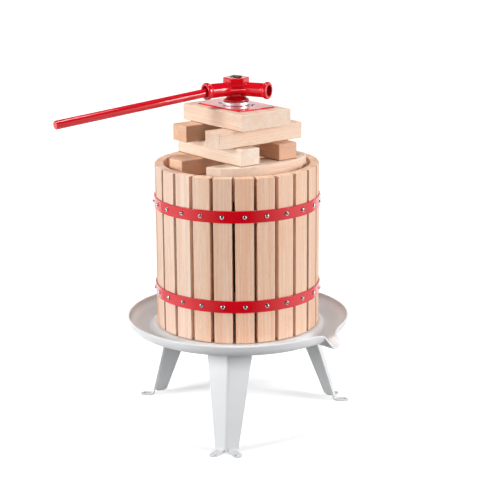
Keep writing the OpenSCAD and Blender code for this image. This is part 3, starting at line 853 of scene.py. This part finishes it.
def add_tab(bm, start, side):
    """Bends a row of points down and out to the floor, and ends it in a round tab."""
    along = (start[-1].co - start[0].co).normalized()
    outward = square_to(Vector((math.sin(HALF_FOLD), side * math.cos(HALF_FOLD), 0)), along)
    down = square_to(Vector((math.tan(LEG_LEAN), 0, -1)), along)
    inward = square_to(outward, down)
    turn = down.angle(outward)
    heels = [v.co + down * (v.co.z - LEG_SHEET) / -down.z for v in start]
    rows = [start]
    for angle in (turn * i / TAB_BEND_STEPS for i in range(TAB_BEND_STEPS + 1)):
        swing = inward - math.cos(angle) * inward + math.sin(angle) * down - math.tan(turn / 2) * down
        rows.append([bm.verts.new(heel + TAB_BEND * swing) for heel in heels])
    centre = (heels[0] + heels[-1]) / 2
    half = (heels[-1] - heels[0]).length / 2
    reach = (tab_hole_place(side) - centre).dot(outward)
    across = [(heel - centre).dot(along) / half for heel in heels]
    bulges = [half * math.sqrt(1 - (TAB_FULLNESS * share) ** 2) for share in across]
    for far, rounded in [(TAB_HALFWAY, 0), (1, 0)] + [(1, share / TAB_ROUND[-1]) for share in TAB_ROUND]:
        rows.append([bm.verts.new(heel + outward * (reach * far + bulge * rounded))
                     for heel, bulge in zip(heels, bulges)])
    bridge(bm, rows, closed_rows=False, closed_around=False)


print("tab hole to", round(tab_hole_place(1).length, 4), "m from the spindle")

# %% [markdown]
# Each leg is screwed to the base plate by a tongue at its top. The leg and its tongue
# are made once in the direction of +X and then turned to their place, three times
# round. The tongue is a plain cut of the same sheet, so a prism with broken edges does.

# %% Legs
TAB_HOLE = 3.0 * MM
TAB_DRILL = (-5 * MM, 10 * MM)
SHEET_EDGE = 0.35 * MM
PLATE_RADIUS = span("base_plate", Vector((1, 0, 0)))[1]
LUG_INNER = PLATE_RADIUS - 34.0 * MM
LUG_HALF = 26.0 * MM
LUG_LOW = 153.7 * MM
LUG_GAP = 1 * MM
LEG_FACINGS = {"leg_front": -90, "leg_right": 30, "leg_left": 150}


def make_leg(node, facing):
    """A folded leg, turned to its place."""
    leg = sheet(node + "_sheet", leg_blank(), LEG_SHEET, Vector((1, 0, 0)))
    drilled(leg, [rod(tab_hole_place(side), TAB_HOLE, *TAB_DRILL) for side in (-1, 1)])
    eased(leg, SHEET_EDGE, least_turn=50)
    leg.data.transform(about_z(facing))
    return dressed(leg, white_enamel, "base", node, smooth_angle=40)


def make_lug(node, facing):
    """The tongue at the top of a leg, which lies against the base plate."""
    end = LEG_TOP_RADIUS - LUG_GAP
    shoulder = end - LUG_HALF / math.tan(HALF_FOLD)
    outline = ((LUG_INNER, -LUG_HALF), (shoulder, -LUG_HALF), (end, 0),
               (shoulder, LUG_HALF), (LUG_INNER, LUG_HALF))
    lug = loose(node + "_lug", prism(outline, (LUG_LOW, LUG_LOW + LEG_SHEET), about_z(facing)))
    return dressed(eased(lug, SHEET_EDGE), white_enamel, "base", node, smooth_angle=40)


for node, facing in LEG_FACINGS.items():
    make_leg(node, facing)
    make_lug(node, facing)
print("legs:", list(LEG_FACINGS))

# %% [markdown]
# Under the tray, where only a view from below finds them, lie the base plate, its
# spacer and washer, the bolts and the nuts. They are turned or hexagonal. A hexagon's
# corners are cut by a cone on a real nut, so the helper takes the smaller of the
# hexagon's radius and the cone's radius in every direction.

# %% Hidden hardware
SPINDLE_RADIUS = 10.0 * MM
PLATE_EDGE = 0.5 * MM
HEX_STEPS = 48
HEX_FACE = 0.97
CHAMFER_SLOPE = 1.73
LEG_BOLT_RADIUS = 3.0 * MM
LEG_BOLT_FLATS = 10.0 * MM
LEG_BOLT_HEAD = 3.6 * MM
LEG_BOLT_POINT = 0.6 * MM
LEG_BOLT_RADIAL = PLATE_RADIUS - 19.0 * MM
LEG_BOLT_SIDEWAYS = 14.0 * MM


def add_hexagon(bm, flats, low, high, turn=Matrix.Identity(4)):
    """A hexagonal prism whose corners are cut by a cone at both ends."""
    corner, face = flats / 2 / math.cos(math.radians(30)), flats / 2 * HEX_FACE
    drop = (corner - face) / CHAMFER_SLOPE
    cone = [(0, face), (drop / 2, (face + corner) / 2), (drop, corner)]
    levels = [(low + z, r) for z, r in cone] + [(high - z, r) for z, r in reversed(cone)]
    angles = [math.tau * i / HEX_STEPS for i in range(HEX_STEPS)]
    hexagon = [flats / 2 / math.cos((a + math.pi / 6) % (math.pi / 3) - math.pi / 6) for a in angles]
    stacked(bm, [[(min(r, allowed) * math.cos(a), min(r, allowed) * math.sin(a), z)
                  for a, r in zip(angles, hexagon)] for z, allowed in levels], turn)


for name, node, finish in (("base_disc", "base_plate", white_enamel),
                           ("spacer_ring", "base_spacer", bright_steel),
                           ("washer_ring", "base_washer", bright_steel)):
    turned_ring(name, node, SPINDLE_RADIUS, finish, "base", PLATE_EDGE)

low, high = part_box("base_nut")
bm = bmesh.new()
add_hexagon(bm, min(high.x - low.x, high.y - low.y), low.z, high.z)
dressed(loose("spindle_nut", bm), bright_steel, "base", "base_nut", smooth_angle=25)

bolt_low, bolt_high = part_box("leg_bolts")
nut_low, nut_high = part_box("leg_nuts")
bolts, nuts = bmesh.new(), bmesh.new()
for facing in LEG_FACINGS.values():
    for side in (-1, 1):
        turn = about_z(facing) @ Matrix.Translation((LEG_BOLT_RADIAL, side * LEG_BOLT_SIDEWAYS, 0))
        head_seat = bolt_high.z - LEG_BOLT_HEAD
        add_hexagon(bolts, LEG_BOLT_FLATS, head_seat, bolt_high.z, turn)
        turned(bolts, [(LEG_BOLT_RADIUS - LEG_BOLT_POINT, bolt_low.z),
                       (LEG_BOLT_RADIUS, bolt_low.z + LEG_BOLT_POINT),
                       (LEG_BOLT_RADIUS, head_seat + LEG_BOLT_POINT)], 24, turn)
        add_hexagon(nuts, LEG_BOLT_FLATS, nut_low.z, nut_high.z, turn)
dressed(loose("leg_bolt_set", bolts), bright_steel, "base", "leg_bolts", smooth_angle=25)
dressed(loose("leg_nut_set", nuts), bright_steel, "base", "leg_nuts", smooth_angle=25)
print("bolts from", round(bolt_low.z, 4), "to", round(bolt_high.z, 4))

# %% [markdown]
# The spindle is cut with a coarse right-hand thread of 4 mm pitch. A Screw modifier
# could sweep it, but its ends would stay open. Here a grid climbs by one pitch for
# each turn and closes on itself, and at both ends the points are drawn flat towards
# the middle, which leaves a clean end face with a chamfer.

# %% Spindle
PITCH = 4.0 * MM
THREAD = ((0.0, 7.75), (1.2, 7.75), (1.8, 9.8), (2.0, 10.0), (3.2, 10.0), (3.4, 9.8))
THREAD_STEPS = 36
END_CHAMFER = 1.2 * MM
SAME_PLACE = 0.002 * MM
EMPTY_AREA = 1e-12


def thread_row(turn, height, radius, low, high):
    """The points of one line of the thread's section, once round from the start of a turn."""
    places = []
    for k in range(THREAD_STEPS):
        z = low + turn * PITCH + height * MM + PITCH * k / THREAD_STEPS
        past = max(low - z, z - high, 0.0)
        inside = max(min(z - low, high - z), 0.0)
        r = min(radius * MM, SPINDLE_RADIUS - END_CHAMFER + inside) * max(0.0, 1 - past / PITCH)
        a = math.tau * k / THREAD_STEPS
        places.append((r * math.cos(a), r * math.sin(a), min(max(z, low), high)))
    return places


def spindle_mesh(low, high):
    """A threaded rod from low to high. The end of each row meets the start of the row one turn on."""
    bm = bmesh.new()
    rows = [[bm.verts.new(place) for place in thread_row(turn, height, radius, low, high)]
            for turn in range(-3, int((high - low) / PITCH) + 5) for height, radius in THREAD]
    ahead = len(THREAD)
    for m, (row, above) in enumerate(zip(rows, rows[1:])):
        for k in range(THREAD_STEPS - 1):
            bm.faces.new((row[k], row[k + 1], above[k + 1], above[k]))
        if m + 1 + ahead < len(rows):
            bm.faces.new((row[-1], rows[m + ahead][0], rows[m + 1 + ahead][0], above[-1]))
    bmesh.ops.remove_doubles(bm, verts=bm.verts, dist=SAME_PLACE)
    bmesh.ops.delete(bm, geom=[f for f in bm.faces if f.calc_area() < EMPTY_AREA], context="FACES")
    return bm


low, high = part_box("spindle")
spindle_rod = loose("spindle_thread", spindle_mesh(low.z, high.z))
dressed(spindle_rod, dark_steel, "base", "spindle", smooth_angle=32)
print("spindle:", round(high.z - low.z, 3), "m,", len(spindle_rod.data.vertices), "points")

# %% [markdown]
# A sleeve stands round the foot of the spindle, and its flange keeps the tray tight.
# It is a turned piece, so its section is drawn once, with a fillet between the flange
# and the sleeve as an arc, and swept round.

# %% Foot sleeve
SLEEVE_RADIUS = 16.0 * MM
SLEEVE_FILLET = 3.0 * MM
SLEEVE_EDGE = 1.0 * MM
FLANGE_THICK = 4.0 * MM
FLANGE_EDGE = 0.8 * MM
low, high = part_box("spindle_sleeve")
flange_radius, flange_top = (high.x - low.x) / 2, low.z + FLANGE_THICK
bm = bmesh.new()
turned(bm, [(SPINDLE_RADIUS, low.z), (flange_radius, low.z), (flange_radius, flange_top - FLANGE_EDGE),
            (flange_radius - FLANGE_EDGE, flange_top)]
       + arc((SLEEVE_RADIUS + SLEEVE_FILLET, flange_top + SLEEVE_FILLET), SLEEVE_FILLET, 270, 180, 5)
       + [(SLEEVE_RADIUS, high.z - SLEEVE_EDGE), (SLEEVE_RADIUS - SLEEVE_EDGE, high.z),
          (SPINDLE_RADIUS, high.z)], 96, ring=True)
dressed(loose("foot_sleeve", bm), bright_steel, "base", "spindle_sleeve", smooth_angle=32)
print("sleeve:", round(high.z - low.z, 3), "m high")

# %% [markdown]
# The blocks, beams, boards and press plates are sawn beech with eased edges. Each is an
# outline raised to its thickness. The Bevel modifier then eases all its sharp edges at
# once, also round a drilled hole, which no hand-placed profile would do so simply.

# %% Blocks and beams
EASE = 1.3 * MM
STACK_TURN = 44.5
SPINDLE_HOLE = 13 * MM
stack_x = round_place(STACK_TURN, 1, 0)
stack_y = round_place(STACK_TURN + 90, 1, 0)
# Painted light and shade over the wood's own tone: paler tints on the lit beams and the top block, darker
# ones on the beams whose faces lie in shade.
BEAM_TONE_AND_PAINTED_LIGHT = {
    "lower_beam_left": (1.0, 1.26, 1.42),
    "lower_beam_right": (0.84, 0.72, 0.64),
    "upper_beam_front": (0.98, 1.12, 1.2),
    "upper_beam_back": (0.9, 0.84, 0.76),
    "top_block": (0.97, 1.11, 1.2),
}


def on_stack(places):
    """Places in the stack's own directions, as places in the press."""
    return [stack_x * x + stack_y * y for x, y in places]


def spindle_drill(node):
    """A drill for the spindle's hole through a node."""
    low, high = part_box(node)
    return rod(Vector((0, 0, 0)), SPINDLE_HOLE, low.z - OVERRUN, high.z + OVERRUN, 48)


def planed(node, outline, grain, tone_and_painted_light=None, holed=False):
    """A board as thick as its node, with eased edges."""
    low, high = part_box(node)
    board = loose(node + "_wood", prism(on_stack(outline), (low.z, high.z)))
    if holed:
        drilled(board, [spindle_drill(node)])
    eased(board, EASE, least_turn=28, segments=3)
    dressed(board, beech, "stack", node, smooth_angle=45)
    return sawn(board, grain, Vector((0, 0, 1)), tone_and_painted_light)


for node, tone_and_painted_light in BEAM_TONE_AND_PAINTED_LIGHT.items():
    x0, x1 = span(node, stack_x)
    y0, y1 = span(node, stack_y)
    planed(node, ((x0, y0), (x1, y0), (x1, y1), (x0, y1)),
           stack_x if node.startswith("upper") else stack_y, tone_and_painted_light, node == "top_block")
print("blocks and beams:", len(BEAM_TONE_AND_PAINTED_LIGHT))

# %% [markdown]
# Two boards with cut corners lie under the beams and spread their load. Under them,
# two half round plates fill the basket's whole width. Their outlines are shares of the
# node's own width and depth, so they stay right if the press is drawn at another size.

# %% Press boards and press plates
# Each board's last entry is its tint, with painted light and shade: paler on the front board, darker on the
# back one, which lies in shade.
BOARDS = {
    "press_board_front": (-1, ((1, 0), (0.9, 0.52), (0.64, 0.87), (0.28, 1)), (0.98, 1.16, 1.28)),
    "press_board_back": (1, ((1, 0), (1, 0.46), (0.64, 0.9), (0.4, 1)), (0.94, 0.92, 0.88)),
}
PLATES = {"press_plate_front": -1, "press_plate_back": 1}
PRESS_GAP = 3.0 * MM


def board_outline(node, side, shares):
    """A press board's outline with its cut corners."""
    wide = span(node, stack_x)[1]
    near, far = span(node, stack_y)[::side]
    half = [(wide * across, near + (far - near) * out) for across, out in shares]
    return half + [(-x, y) for x, y in reversed(half)]


def half_round(node, side):
    """A half disc beside the middle line, with half of the spindle's hole in it."""
    radius = span(node, stack_x)[1]
    start = math.degrees(math.asin(PRESS_GAP / 2 / radius))
    bore = math.degrees(math.asin(PRESS_GAP / 2 / SPINDLE_HOLE))
    rim = arc((0, 0), radius, start, 180 - start, 48)
    hole = arc((0, 0), SPINDLE_HOLE, 180 - bore, bore, 20)
    return [(x, side * y) for x, y in rim + hole]


for node, (side, shares, tone_and_painted_light) in BOARDS.items():
    planed(node, board_outline(node, side, shares), stack_x, tone_and_painted_light)
for node, side in PLATES.items():
    planed(node, half_round(node, side), stack_x)
print("boards and plates:", len(BOARDS) + len(PLATES))

# %% [markdown]
# On the top block lies a red pressure plate, held by two screws, and on it a bright
# thrust ring that the head turns against. The ring is satin steel with rounded edges,
# so it carries the plate's red only as a soft glow.

# %% Pressure plate, its screws and the thrust ring
PLATE_CORNER = 1.5 * MM
PLATE_BREAK = 0.25 * MM
PLATE_SCREW_RADIUS = 29.0 * MM
PLATE_SCREW_TURN = -61.0
THRUST_BORE = 11 * MM
THRUST_EDGE = 0.9 * MM
low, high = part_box("pressure_plate")
half_x, half_y = span("pressure_plate", stack_x)[1], span("pressure_plate", stack_y)[1]
outline = on_stack(eased_outline(2 * half_x, 2 * half_y, PLATE_CORNER, steps=5))
pressure_sheet = loose("pressure_sheet", prism(outline, (low.z, high.z)))
drilled(pressure_sheet, [spindle_drill("pressure_plate")])
dressed(eased(pressure_sheet, PLATE_BREAK), red_paint, "stack", "pressure_plate", smooth_angle=40)

plate_screw = screw_mesh(head_radius=3.4 * MM, head_height=1.3 * MM,
                         shank_radius=2.0 * MM, shank_length=22 * MM)
places = [about_z(STACK_TURN + PLATE_SCREW_TURN + half) @ Matrix.Translation((PLATE_SCREW_RADIUS, 0, high.z))
          @ about_z(boards.uniform(0, 90)) for half in (0, 180)]
screw_row("plate_screw_pair", "plate_screws", plate_screw, places, "stack")
turned_ring("thrust_collar", "thrust_ring", THRUST_BORE, satin_steel, "stack", THRUST_EDGE)
print("plate:", round(2 * half_x, 3), "by", round(2 * half_y, 3), "m")

# %% [markdown]
# The head is an iron casting: a flared foot, a waist, a six-sided boss for a wrench and
# three socket arms with collars, with a thin web between the arms. It could be one
# solid cut from a block. Here each form is drawn by itself, as the pattern maker does
# who glues them up in wood: the round body and the arms are turned, and the boss and
# the web are stacks of outlines.

# %% Outlines of the press head
low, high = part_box("press_head")
HEAD_BASE, HEAD_TOP = low.z, high.z
FOOT_RADIUS = 21.0 * MM
FOOT_RIM = 3.5 * MM
FOOT_EDGE = 0.6 * MM
NECK_RADIUS = 14.5 * MM
NECK_RISE = 9.5 * MM
NECK_INSET = 4.0 * MM
ARM_HEIGHT = HEAD_BASE + 20 * MM
ARM_FACING = 219.5
ARM_REACH = 59.5 * MM
ARM_RADIUS = 11.75 * MM
ARM_TAPER = 0.3 * MM
ARM_WAIST = 24 * MM
COLLAR_RADIUS = 14.0 * MM
COLLAR_WIDTH = 7.0 * MM
COLLAR_FILLET = 3.0 * MM
COLLAR = ((-1.0, 0.0), (0.0, 1.6), (0.0, 5.4), (-0.8, 6.7), (-1.8, 7.0))
BOSS_FLATS = 37.4 * MM
BOSS_CORNER = 2.2 * MM
BOSS_HEIGHT = 9.0 * MM
BOSS_RISE = 1.2 * MM
BOSS_EDGE, BOSS_EDGE_INSET = 0.9 * MM, 0.8 * MM
BOSS_TOP = HEAD_TOP + BOSS_RISE
BOWL = ((9.0, 6.6), (7.6, 4.2), (5.6, 2.2), (3.4, 0.9), (1.4, 0.2), (-1.0, 0.0))
WEB_LEVEL = 18.4 * MM
WEB_HALF = 5.0 * MM
WEB_FILLET = 52.0 * MM
WEB_EDGE_FILLET = 3.0 * MM
WEB_STEPS = 6


def body_profile():
    """The head's round body: the rim of the foot, a hollow flare and the neck."""
    flare = [(FOOT_RADIUS - (FOOT_RADIUS - NECK_RADIUS) * math.sin(a),
              HEAD_BASE + FOOT_RIM + NECK_RISE * (1 - math.cos(a)))
             for a in (math.pi / 2 * i / 8 for i in range(9))]
    return [(FOOT_RADIUS - FOOT_EDGE, HEAD_BASE), (FOOT_RADIUS, HEAD_BASE + FOOT_EDGE)] + flare + [
        (NECK_RADIUS, HEAD_TOP - NECK_INSET)]


def boss_outline(shrink):
    """A hexagon with rounded corners."""
    corner_reach = (BOSS_FLATS / 2 - shrink - BOSS_CORNER) / math.cos(math.radians(30))
    points = []
    for facing in (60 * k + 30 + ARM_FACING for k in range(6)):
        points += arc(round_place(facing, corner_reach, 0), BOSS_CORNER, facing - 30, facing + 30, 5)
    return points


def boss_rows():
    """The boss from the bottom of its bowl to its top, as (height, shrink)."""
    bowl = [(HEAD_TOP - BOSS_HEIGHT - drop * MM, shrink * MM) for drop, shrink in BOWL]
    return bowl + [(BOSS_TOP - BOSS_EDGE, 0), (BOSS_TOP, BOSS_EDGE_INSET)]


def web_outline(level):
    """The three arms and the wide fillets between them, cut at a level from -1 to 1."""
    half = math.sqrt(ARM_RADIUS ** 2 - (WEB_HALF * level) ** 2) - ARM_TAPER
    fillet = WEB_FILLET * (1 - abs(level) ** 3) + WEB_EDGE_FILLET
    out = (fillet + half) / math.sin(math.radians(60))
    points = []
    for between in (ARM_FACING + 60 + 120 * k for k in range(3)):
        points += arc(round_place(between, out, 0), fillet, between + 210, between + 150, 10)
    return points


def arm_profile():
    """A socket arm with its collar, along its own axis from the spindle."""
    start = ARM_REACH - COLLAR_WIDTH
    stem = [(ARM_RADIUS - 2 * ARM_TAPER, 0), (ARM_RADIUS - ARM_TAPER, ARM_WAIST),
            (ARM_RADIUS, start - COLLAR_FILLET)]
    return stem + [(COLLAR_RADIUS + r * MM, start + z * MM) for r, z in COLLAR]


print("head:", round(HEAD_TOP - HEAD_BASE, 4), "m high")

# %% [markdown]
# On a casting every inner corner is a fillet. Joining the forms and remeshing them as
# one skin of small squares, then relaxing the skin, gives those fillets without
# modelling any of them. The bores are drilled afterwards, because on the real one they
# are cut clean.

# %% Press head
CASTING_GRAIN = 0.6 * MM
SOCKET_RADIUS = 9.25 * MM
SOCKET_FLOOR = 15.0 * MM
HEAD_BORE = 10.3 * MM
COUNTERSINK = 0.5 * MM


def arm_turn(facing):
    """Lays a profile along an arm."""
    return (Matrix.Translation((0, 0, ARM_HEIGHT)) @ about_z(facing)
            @ Matrix.Rotation(math.radians(90), 4, "Y"))


def countersink_drill(turn, radius, start, end):
    """A drill along the Z axis of turn, with a countersink at its end."""
    wide = radius + 2 * COUNTERSINK
    bm = bmesh.new()
    turned(bm, [(radius, start), (radius, end - COUNTERSINK), (wide, end + COUNTERSINK),
                (wide, end + 5 * COUNTERSINK)], 64, turn)
    return bm


arm_turns = [arm_turn(ARM_FACING + 120 * k) for k in range(3)]
bm = bmesh.new()
turned(bm, body_profile(), steps=72)
stacked(bm, [[(x, y, z) for x, y in boss_outline(shrink)] for z, shrink in boss_rows()])
stacked(bm, [[(x, y, HEAD_BASE + WEB_LEVEL + WEB_HALF * level) for x, y in web_outline(level)]
             for level in (i / WEB_STEPS for i in range(-WEB_STEPS, WEB_STEPS + 1))])
for turn in arm_turns:
    turned(bm, arm_profile(), steps=48, turn=turn)
casting = loose("head_casting", bm)
skin = casting.modifiers.new("skin", "REMESH")
skin.mode = "VOXEL"
skin.voxel_size = CASTING_GRAIN
relax = casting.modifiers.new("relax", "SMOOTH")
relax.factor = 0.5
relax.iterations = 4
settle(casting)
sockets = [countersink_drill(turn, SOCKET_RADIUS, SOCKET_FLOOR, ARM_REACH) for turn in arm_turns]
bore = countersink_drill(Matrix.Identity(4), HEAD_BORE, HEAD_BASE - 5 * OVERRUN, BOSS_TOP)
drilled(casting, sockets + [bore])
dressed(casting, red_paint, "head", "press_head", smooth_angle=40)
print("casting faces:", len(casting.data.polygons))

# %% [markdown]
# The bar is a plain red rod with chamfered ends and a hole across it near the outer
# end. It rests aslant in its loose socket. Its direction is the axis of its own sliding
# joint, so the rod is turned along that and can't miss the socket.

# %% Handle bar
BAR_RADIUS = 7.0 * MM
BAR_CHAMFER = 0.8 * MM
BAR_HOLE = 3.25 * MM
BAR_HOLE_INSET = 13.0 * MM
BAR_DRILL_REACH = 12 * MM


def laid_along(place, direction):
    """A turn whose Z axis runs along a direction, from a place."""
    return Matrix.Translation(place) @ direction.to_track_quat("Z", "X").to_matrix().to_4x4()


slide = next(joint for joint in frame["joints"] if joint["name"] == "bar_slide")
bar_axis = Vector(slide["axis"]).normalized()
bar_middle = middle("handle_bar")
near, far = span("handle_bar", bar_axis)
half_bar = (far - near) / 2
bm = bmesh.new()
turned(bm, [(BAR_RADIUS - BAR_CHAMFER, -half_bar), (BAR_RADIUS, BAR_CHAMFER - half_bar),
            (BAR_RADIUS, half_bar - BAR_CHAMFER), (BAR_RADIUS - BAR_CHAMFER, half_bar)],
       64, laid_along(bar_middle, bar_axis))
level = Vector((-bar_axis.y, bar_axis.x, 0)).normalized()
hole_middle = bar_middle + bar_axis * (half_bar - BAR_HOLE_INSET)
cross_drill = bmesh.new()
turned(cross_drill, [(BAR_HOLE, -BAR_DRILL_REACH), (BAR_HOLE, BAR_DRILL_REACH)], 40,
       laid_along(hole_middle, bar_axis.cross(level).normalized()))
bar = drilled(loose("handle_rod", bm), [cross_drill])
dressed(bar, red_paint, "bar", "handle_bar", smooth_angle=40)
print("bar:", round(far - near, 3), "m")

# %% [markdown]
# A product picture of this kind is lit by large soft panels at both sides, and the
# camera's side is left dark. So what faces a side is bright, what faces the camera is
# calmer, and the gaps are deep. The floor takes the object's shadow and also gives off
# light to the camera, so that it ends as white as the page, while it sends the object
# little light. A lamp could make it white too, but it would flood the object. The glow
# is weaker near the press, where the lamps already light the paper.

# %% Floor
FLOOR_REACH = 30.0
GLOW_NEAR, GLOW_NEAR_RADIUS = 0.50, 0.4
GLOW_FAR, GLOW_FAR_RADIUS = 0.97, 3.0


def seen_directly(graph):
    """1 for rays from the camera, a mirror or glass, and 0 for light on the object."""
    path = graph.node("ShaderNodeLightPath").outputs
    mirrored = graph.reckon("MAXIMUM", path["Is Glossy Ray"], path["Is Transmission Ray"])
    return graph.reckon("MAXIMUM", path["Is Camera Ray"], mirrored)


def studio_piece(name, bm, material):
    """A sheet that belongs to the studio and not to the press."""
    made = loose(name, bm)
    made.data.materials.append(material)
    return made


f = Finish("floor_paper")
direct = seen_directly(f)
place = f.own_place()
apart = f.node("ShaderNodeVectorMath", {0: place}, operation="LENGTH").outputs["Value"]
glow = f.ramp(apart, GLOW_NEAR_RADIUS, GLOW_FAR_RADIUS, GLOW_NEAR, GLOW_FAR)
paper = f.blend(f.noise(place, (3, 3, 3)), colour(246, 246, 246), colour(243, 243, 243))
f.surface(Base_Color=f.blend(direct, colour(120, 120, 120), paper), Roughness=0.9,
          Emission_Color=(1, 1, 1, 1), Emission_Strength=f.reckon("MULTIPLY", direct, glow))
bm = bmesh.new()
bm.faces.new([bm.verts.new((FLOOR_REACH * x, FLOOR_REACH * y, 0)) for x, y in CORNERS])
studio_piece("floor", bm, f.material)
print("floor:", 2 * FLOOR_REACH, "m wide")

# %% [markdown]
# Gloss paint and steel show whatever stands round them, so a photographer hides the
# bright floor in front and the ceiling with card, called flags. Without them the red
# hoops would turn pink. Here a low arc of card stands on the floor before the press,
# with an apron on each side, and a dark shell hangs high over it. The low cards glow
# as a painted reflection: black before the camera, whitest at the sides and grey
# behind, so a hoop darkens softly towards its middle. Only mirror rays meet the cards,
# and they cast no shadow, so they paint reflections alone. Over the arc's top edge the
# lamps still show, as crisp lights on the arms.

# %% Flags
CAMERA_FACING = -83.5
FLAG_RADIUS, FLAG_TOP, FLAG_HALF_ANGLE = 0.9, 0.68, 66
APRON_RADIUS, APRON_REACH, APRON_END = 0.42, 2.1, 125
CARD_HEIGHT = 1 * MM
SHELL_RADIUS, SHELL_START, SHELL_END = 6.0, 24, 89
CARD_GLOW = 1.3
RISE_START, RISE_END = math.radians(14), math.radians(72)
FALL_START, FALL_END = math.radians(90), math.radians(125)
GLOW_BEHIND = 0.45


def card_finish(name):
    """Dull black card."""
    f = Finish(name)
    black = f.blend(f.noise(f.own_place(), (40, 40, 40)), colour(12, 12, 12), colour(16, 16, 16))
    f.surface(Base_Color=black, Roughness=0.95, Specular_IOR_Level=0.0)
    return f


def card_shell(name, material, rows, facings):
    """Card swept between directions, through (radius, height) points, for mirror rays alone."""
    bm = bmesh.new()
    bridge(bm, [[bm.verts.new(round_place(facing, radius, height)) for facing in facings]
                for radius, height in rows], closed_rows=False, closed_around=False)
    card = studio_piece(name, bm, material)
    card.visible_camera = card.visible_diffuse = card.visible_transmission = card.visible_shadow = False


f = card_finish("glowing_reflection_card")
level_place = f.scaled(f.own_place(), (1, 1, 0))
outward = f.node("ShaderNodeVectorMath", {0: level_place}, operation="NORMALIZE").outputs[0]
ahead = f.node("ShaderNodeVectorMath", {0: outward, 1: tuple(round_place(CAMERA_FACING, 1, 0))},
               operation="DOT_PRODUCT").outputs["Value"]
turned_away = f.reckon("ARCCOSINE", ahead)
rise = f.ramp(turned_away, RISE_START, RISE_END, 0.0, CARD_GLOW)
fall = f.ramp(turned_away, FALL_START, FALL_END, 1.0, GLOW_BEHIND)
# Painted reflection: the card glows for mirror rays, not at all before the camera, most at the sides and
# less behind.
f.surface(Emission_Color=(1, 1, 1, 1), Emission_Strength=f.reckon("MULTIPLY", rise, fall))
card_shell("front_flag", f.material,
           [(APRON_RADIUS, CARD_HEIGHT), (FLAG_RADIUS, CARD_HEIGHT), (FLAG_RADIUS, FLAG_TOP)],
           [CAMERA_FACING + FLAG_HALF_ANGLE * s / 8 for s in range(-8, 9)])
apron_turns = [FLAG_HALF_ANGLE + (APRON_END - FLAG_HALF_ANGLE) * s / 6 for s in range(7)]
for side, name in ((-1, "left_apron"), (1, "right_apron")):
    card_shell(name, f.material, [(APRON_RADIUS, CARD_HEIGHT), (APRON_REACH, CARD_HEIGHT)],
               [CAMERA_FACING + side * turn for turn in apron_turns])
risings = [math.radians(SHELL_START + (SHELL_END - SHELL_START) * i / 8) for i in range(9)]
card_shell("dark_shell", card_finish("black_card").material,
           [(SHELL_RADIUS * math.cos(a), SHELL_RADIUS * math.sin(a)) for a in risings], range(0, 361, 10))
print("flags: front to", FLAG_TOP, "m, shell from", SHELL_START, "degrees up")

# %% [markdown]
# The world is plain white to the camera and in mirrors. As light on the object it is
# weak, because the two side panels do most of the work. They stand a little forward of
# the press, seen from the camera. A panel high above draws the light along the bar and
# the arms, and a weak one before the press, without a mirror image, opens the shadows.

# %% World and lamps
AMBIENT = 0.07
PRESS_MIDDLE = Vector((0, 0, 0.3))
PANEL_HEIGHT, PANEL_DISTANCE, PANEL_SIZE = 0.85, 2.05, (0.65, 0.85)
world = bpy.data.worlds.new("studio")
bpy.context.scene.world = world
world.use_nodes = True
w = Graph(world.node_tree)
w.feed(w.nodes["Background"], "Color", (1, 1, 1, 1))
w.feed(w.nodes["Background"], "Strength", w.ramp(seen_directly(w), 0, 1, AMBIENT, 1))


def softbox(name, facing, height, distance, size, power, mirrored=True):
    """A soft panel in a direction from the spindle, turned to the press. It may show in mirrors."""
    lamp = bpy.data.lights.new(name, "AREA")
    lamp.shape = "RECTANGLE"
    lamp.size, lamp.size_y = size
    lamp.energy = power
    made = bpy.data.objects.new(name, lamp)
    made.location = round_place(facing, distance, height)
    made.rotation_euler = (made.location - PRESS_MIDDLE).to_track_quat("Z", "Y").to_euler()
    made.visible_glossy = mirrored
    bpy.context.scene.collection.objects.link(made)


for name, turn, power in (("left_panel", -66, 36.5), ("right_panel", 67, 35)):
    softbox(name, CAMERA_FACING + turn, PANEL_HEIGHT, PANEL_DISTANCE, PANEL_SIZE, power)
softbox("front_fill", CAMERA_FACING, height=1.1, distance=2.6, size=(1.2, 0.8), power=6, mirrored=False)
softbox("top_panel", CAMERA_FACING + 180, height=2.9, distance=0.1, size=(1.4, 0.4), power=37)

# %% [markdown]
# The Standard view shows a colour as it is written, where a film look would soften it.

# %% View
bpy.context.scene.view_settings.view_transform = "Standard"
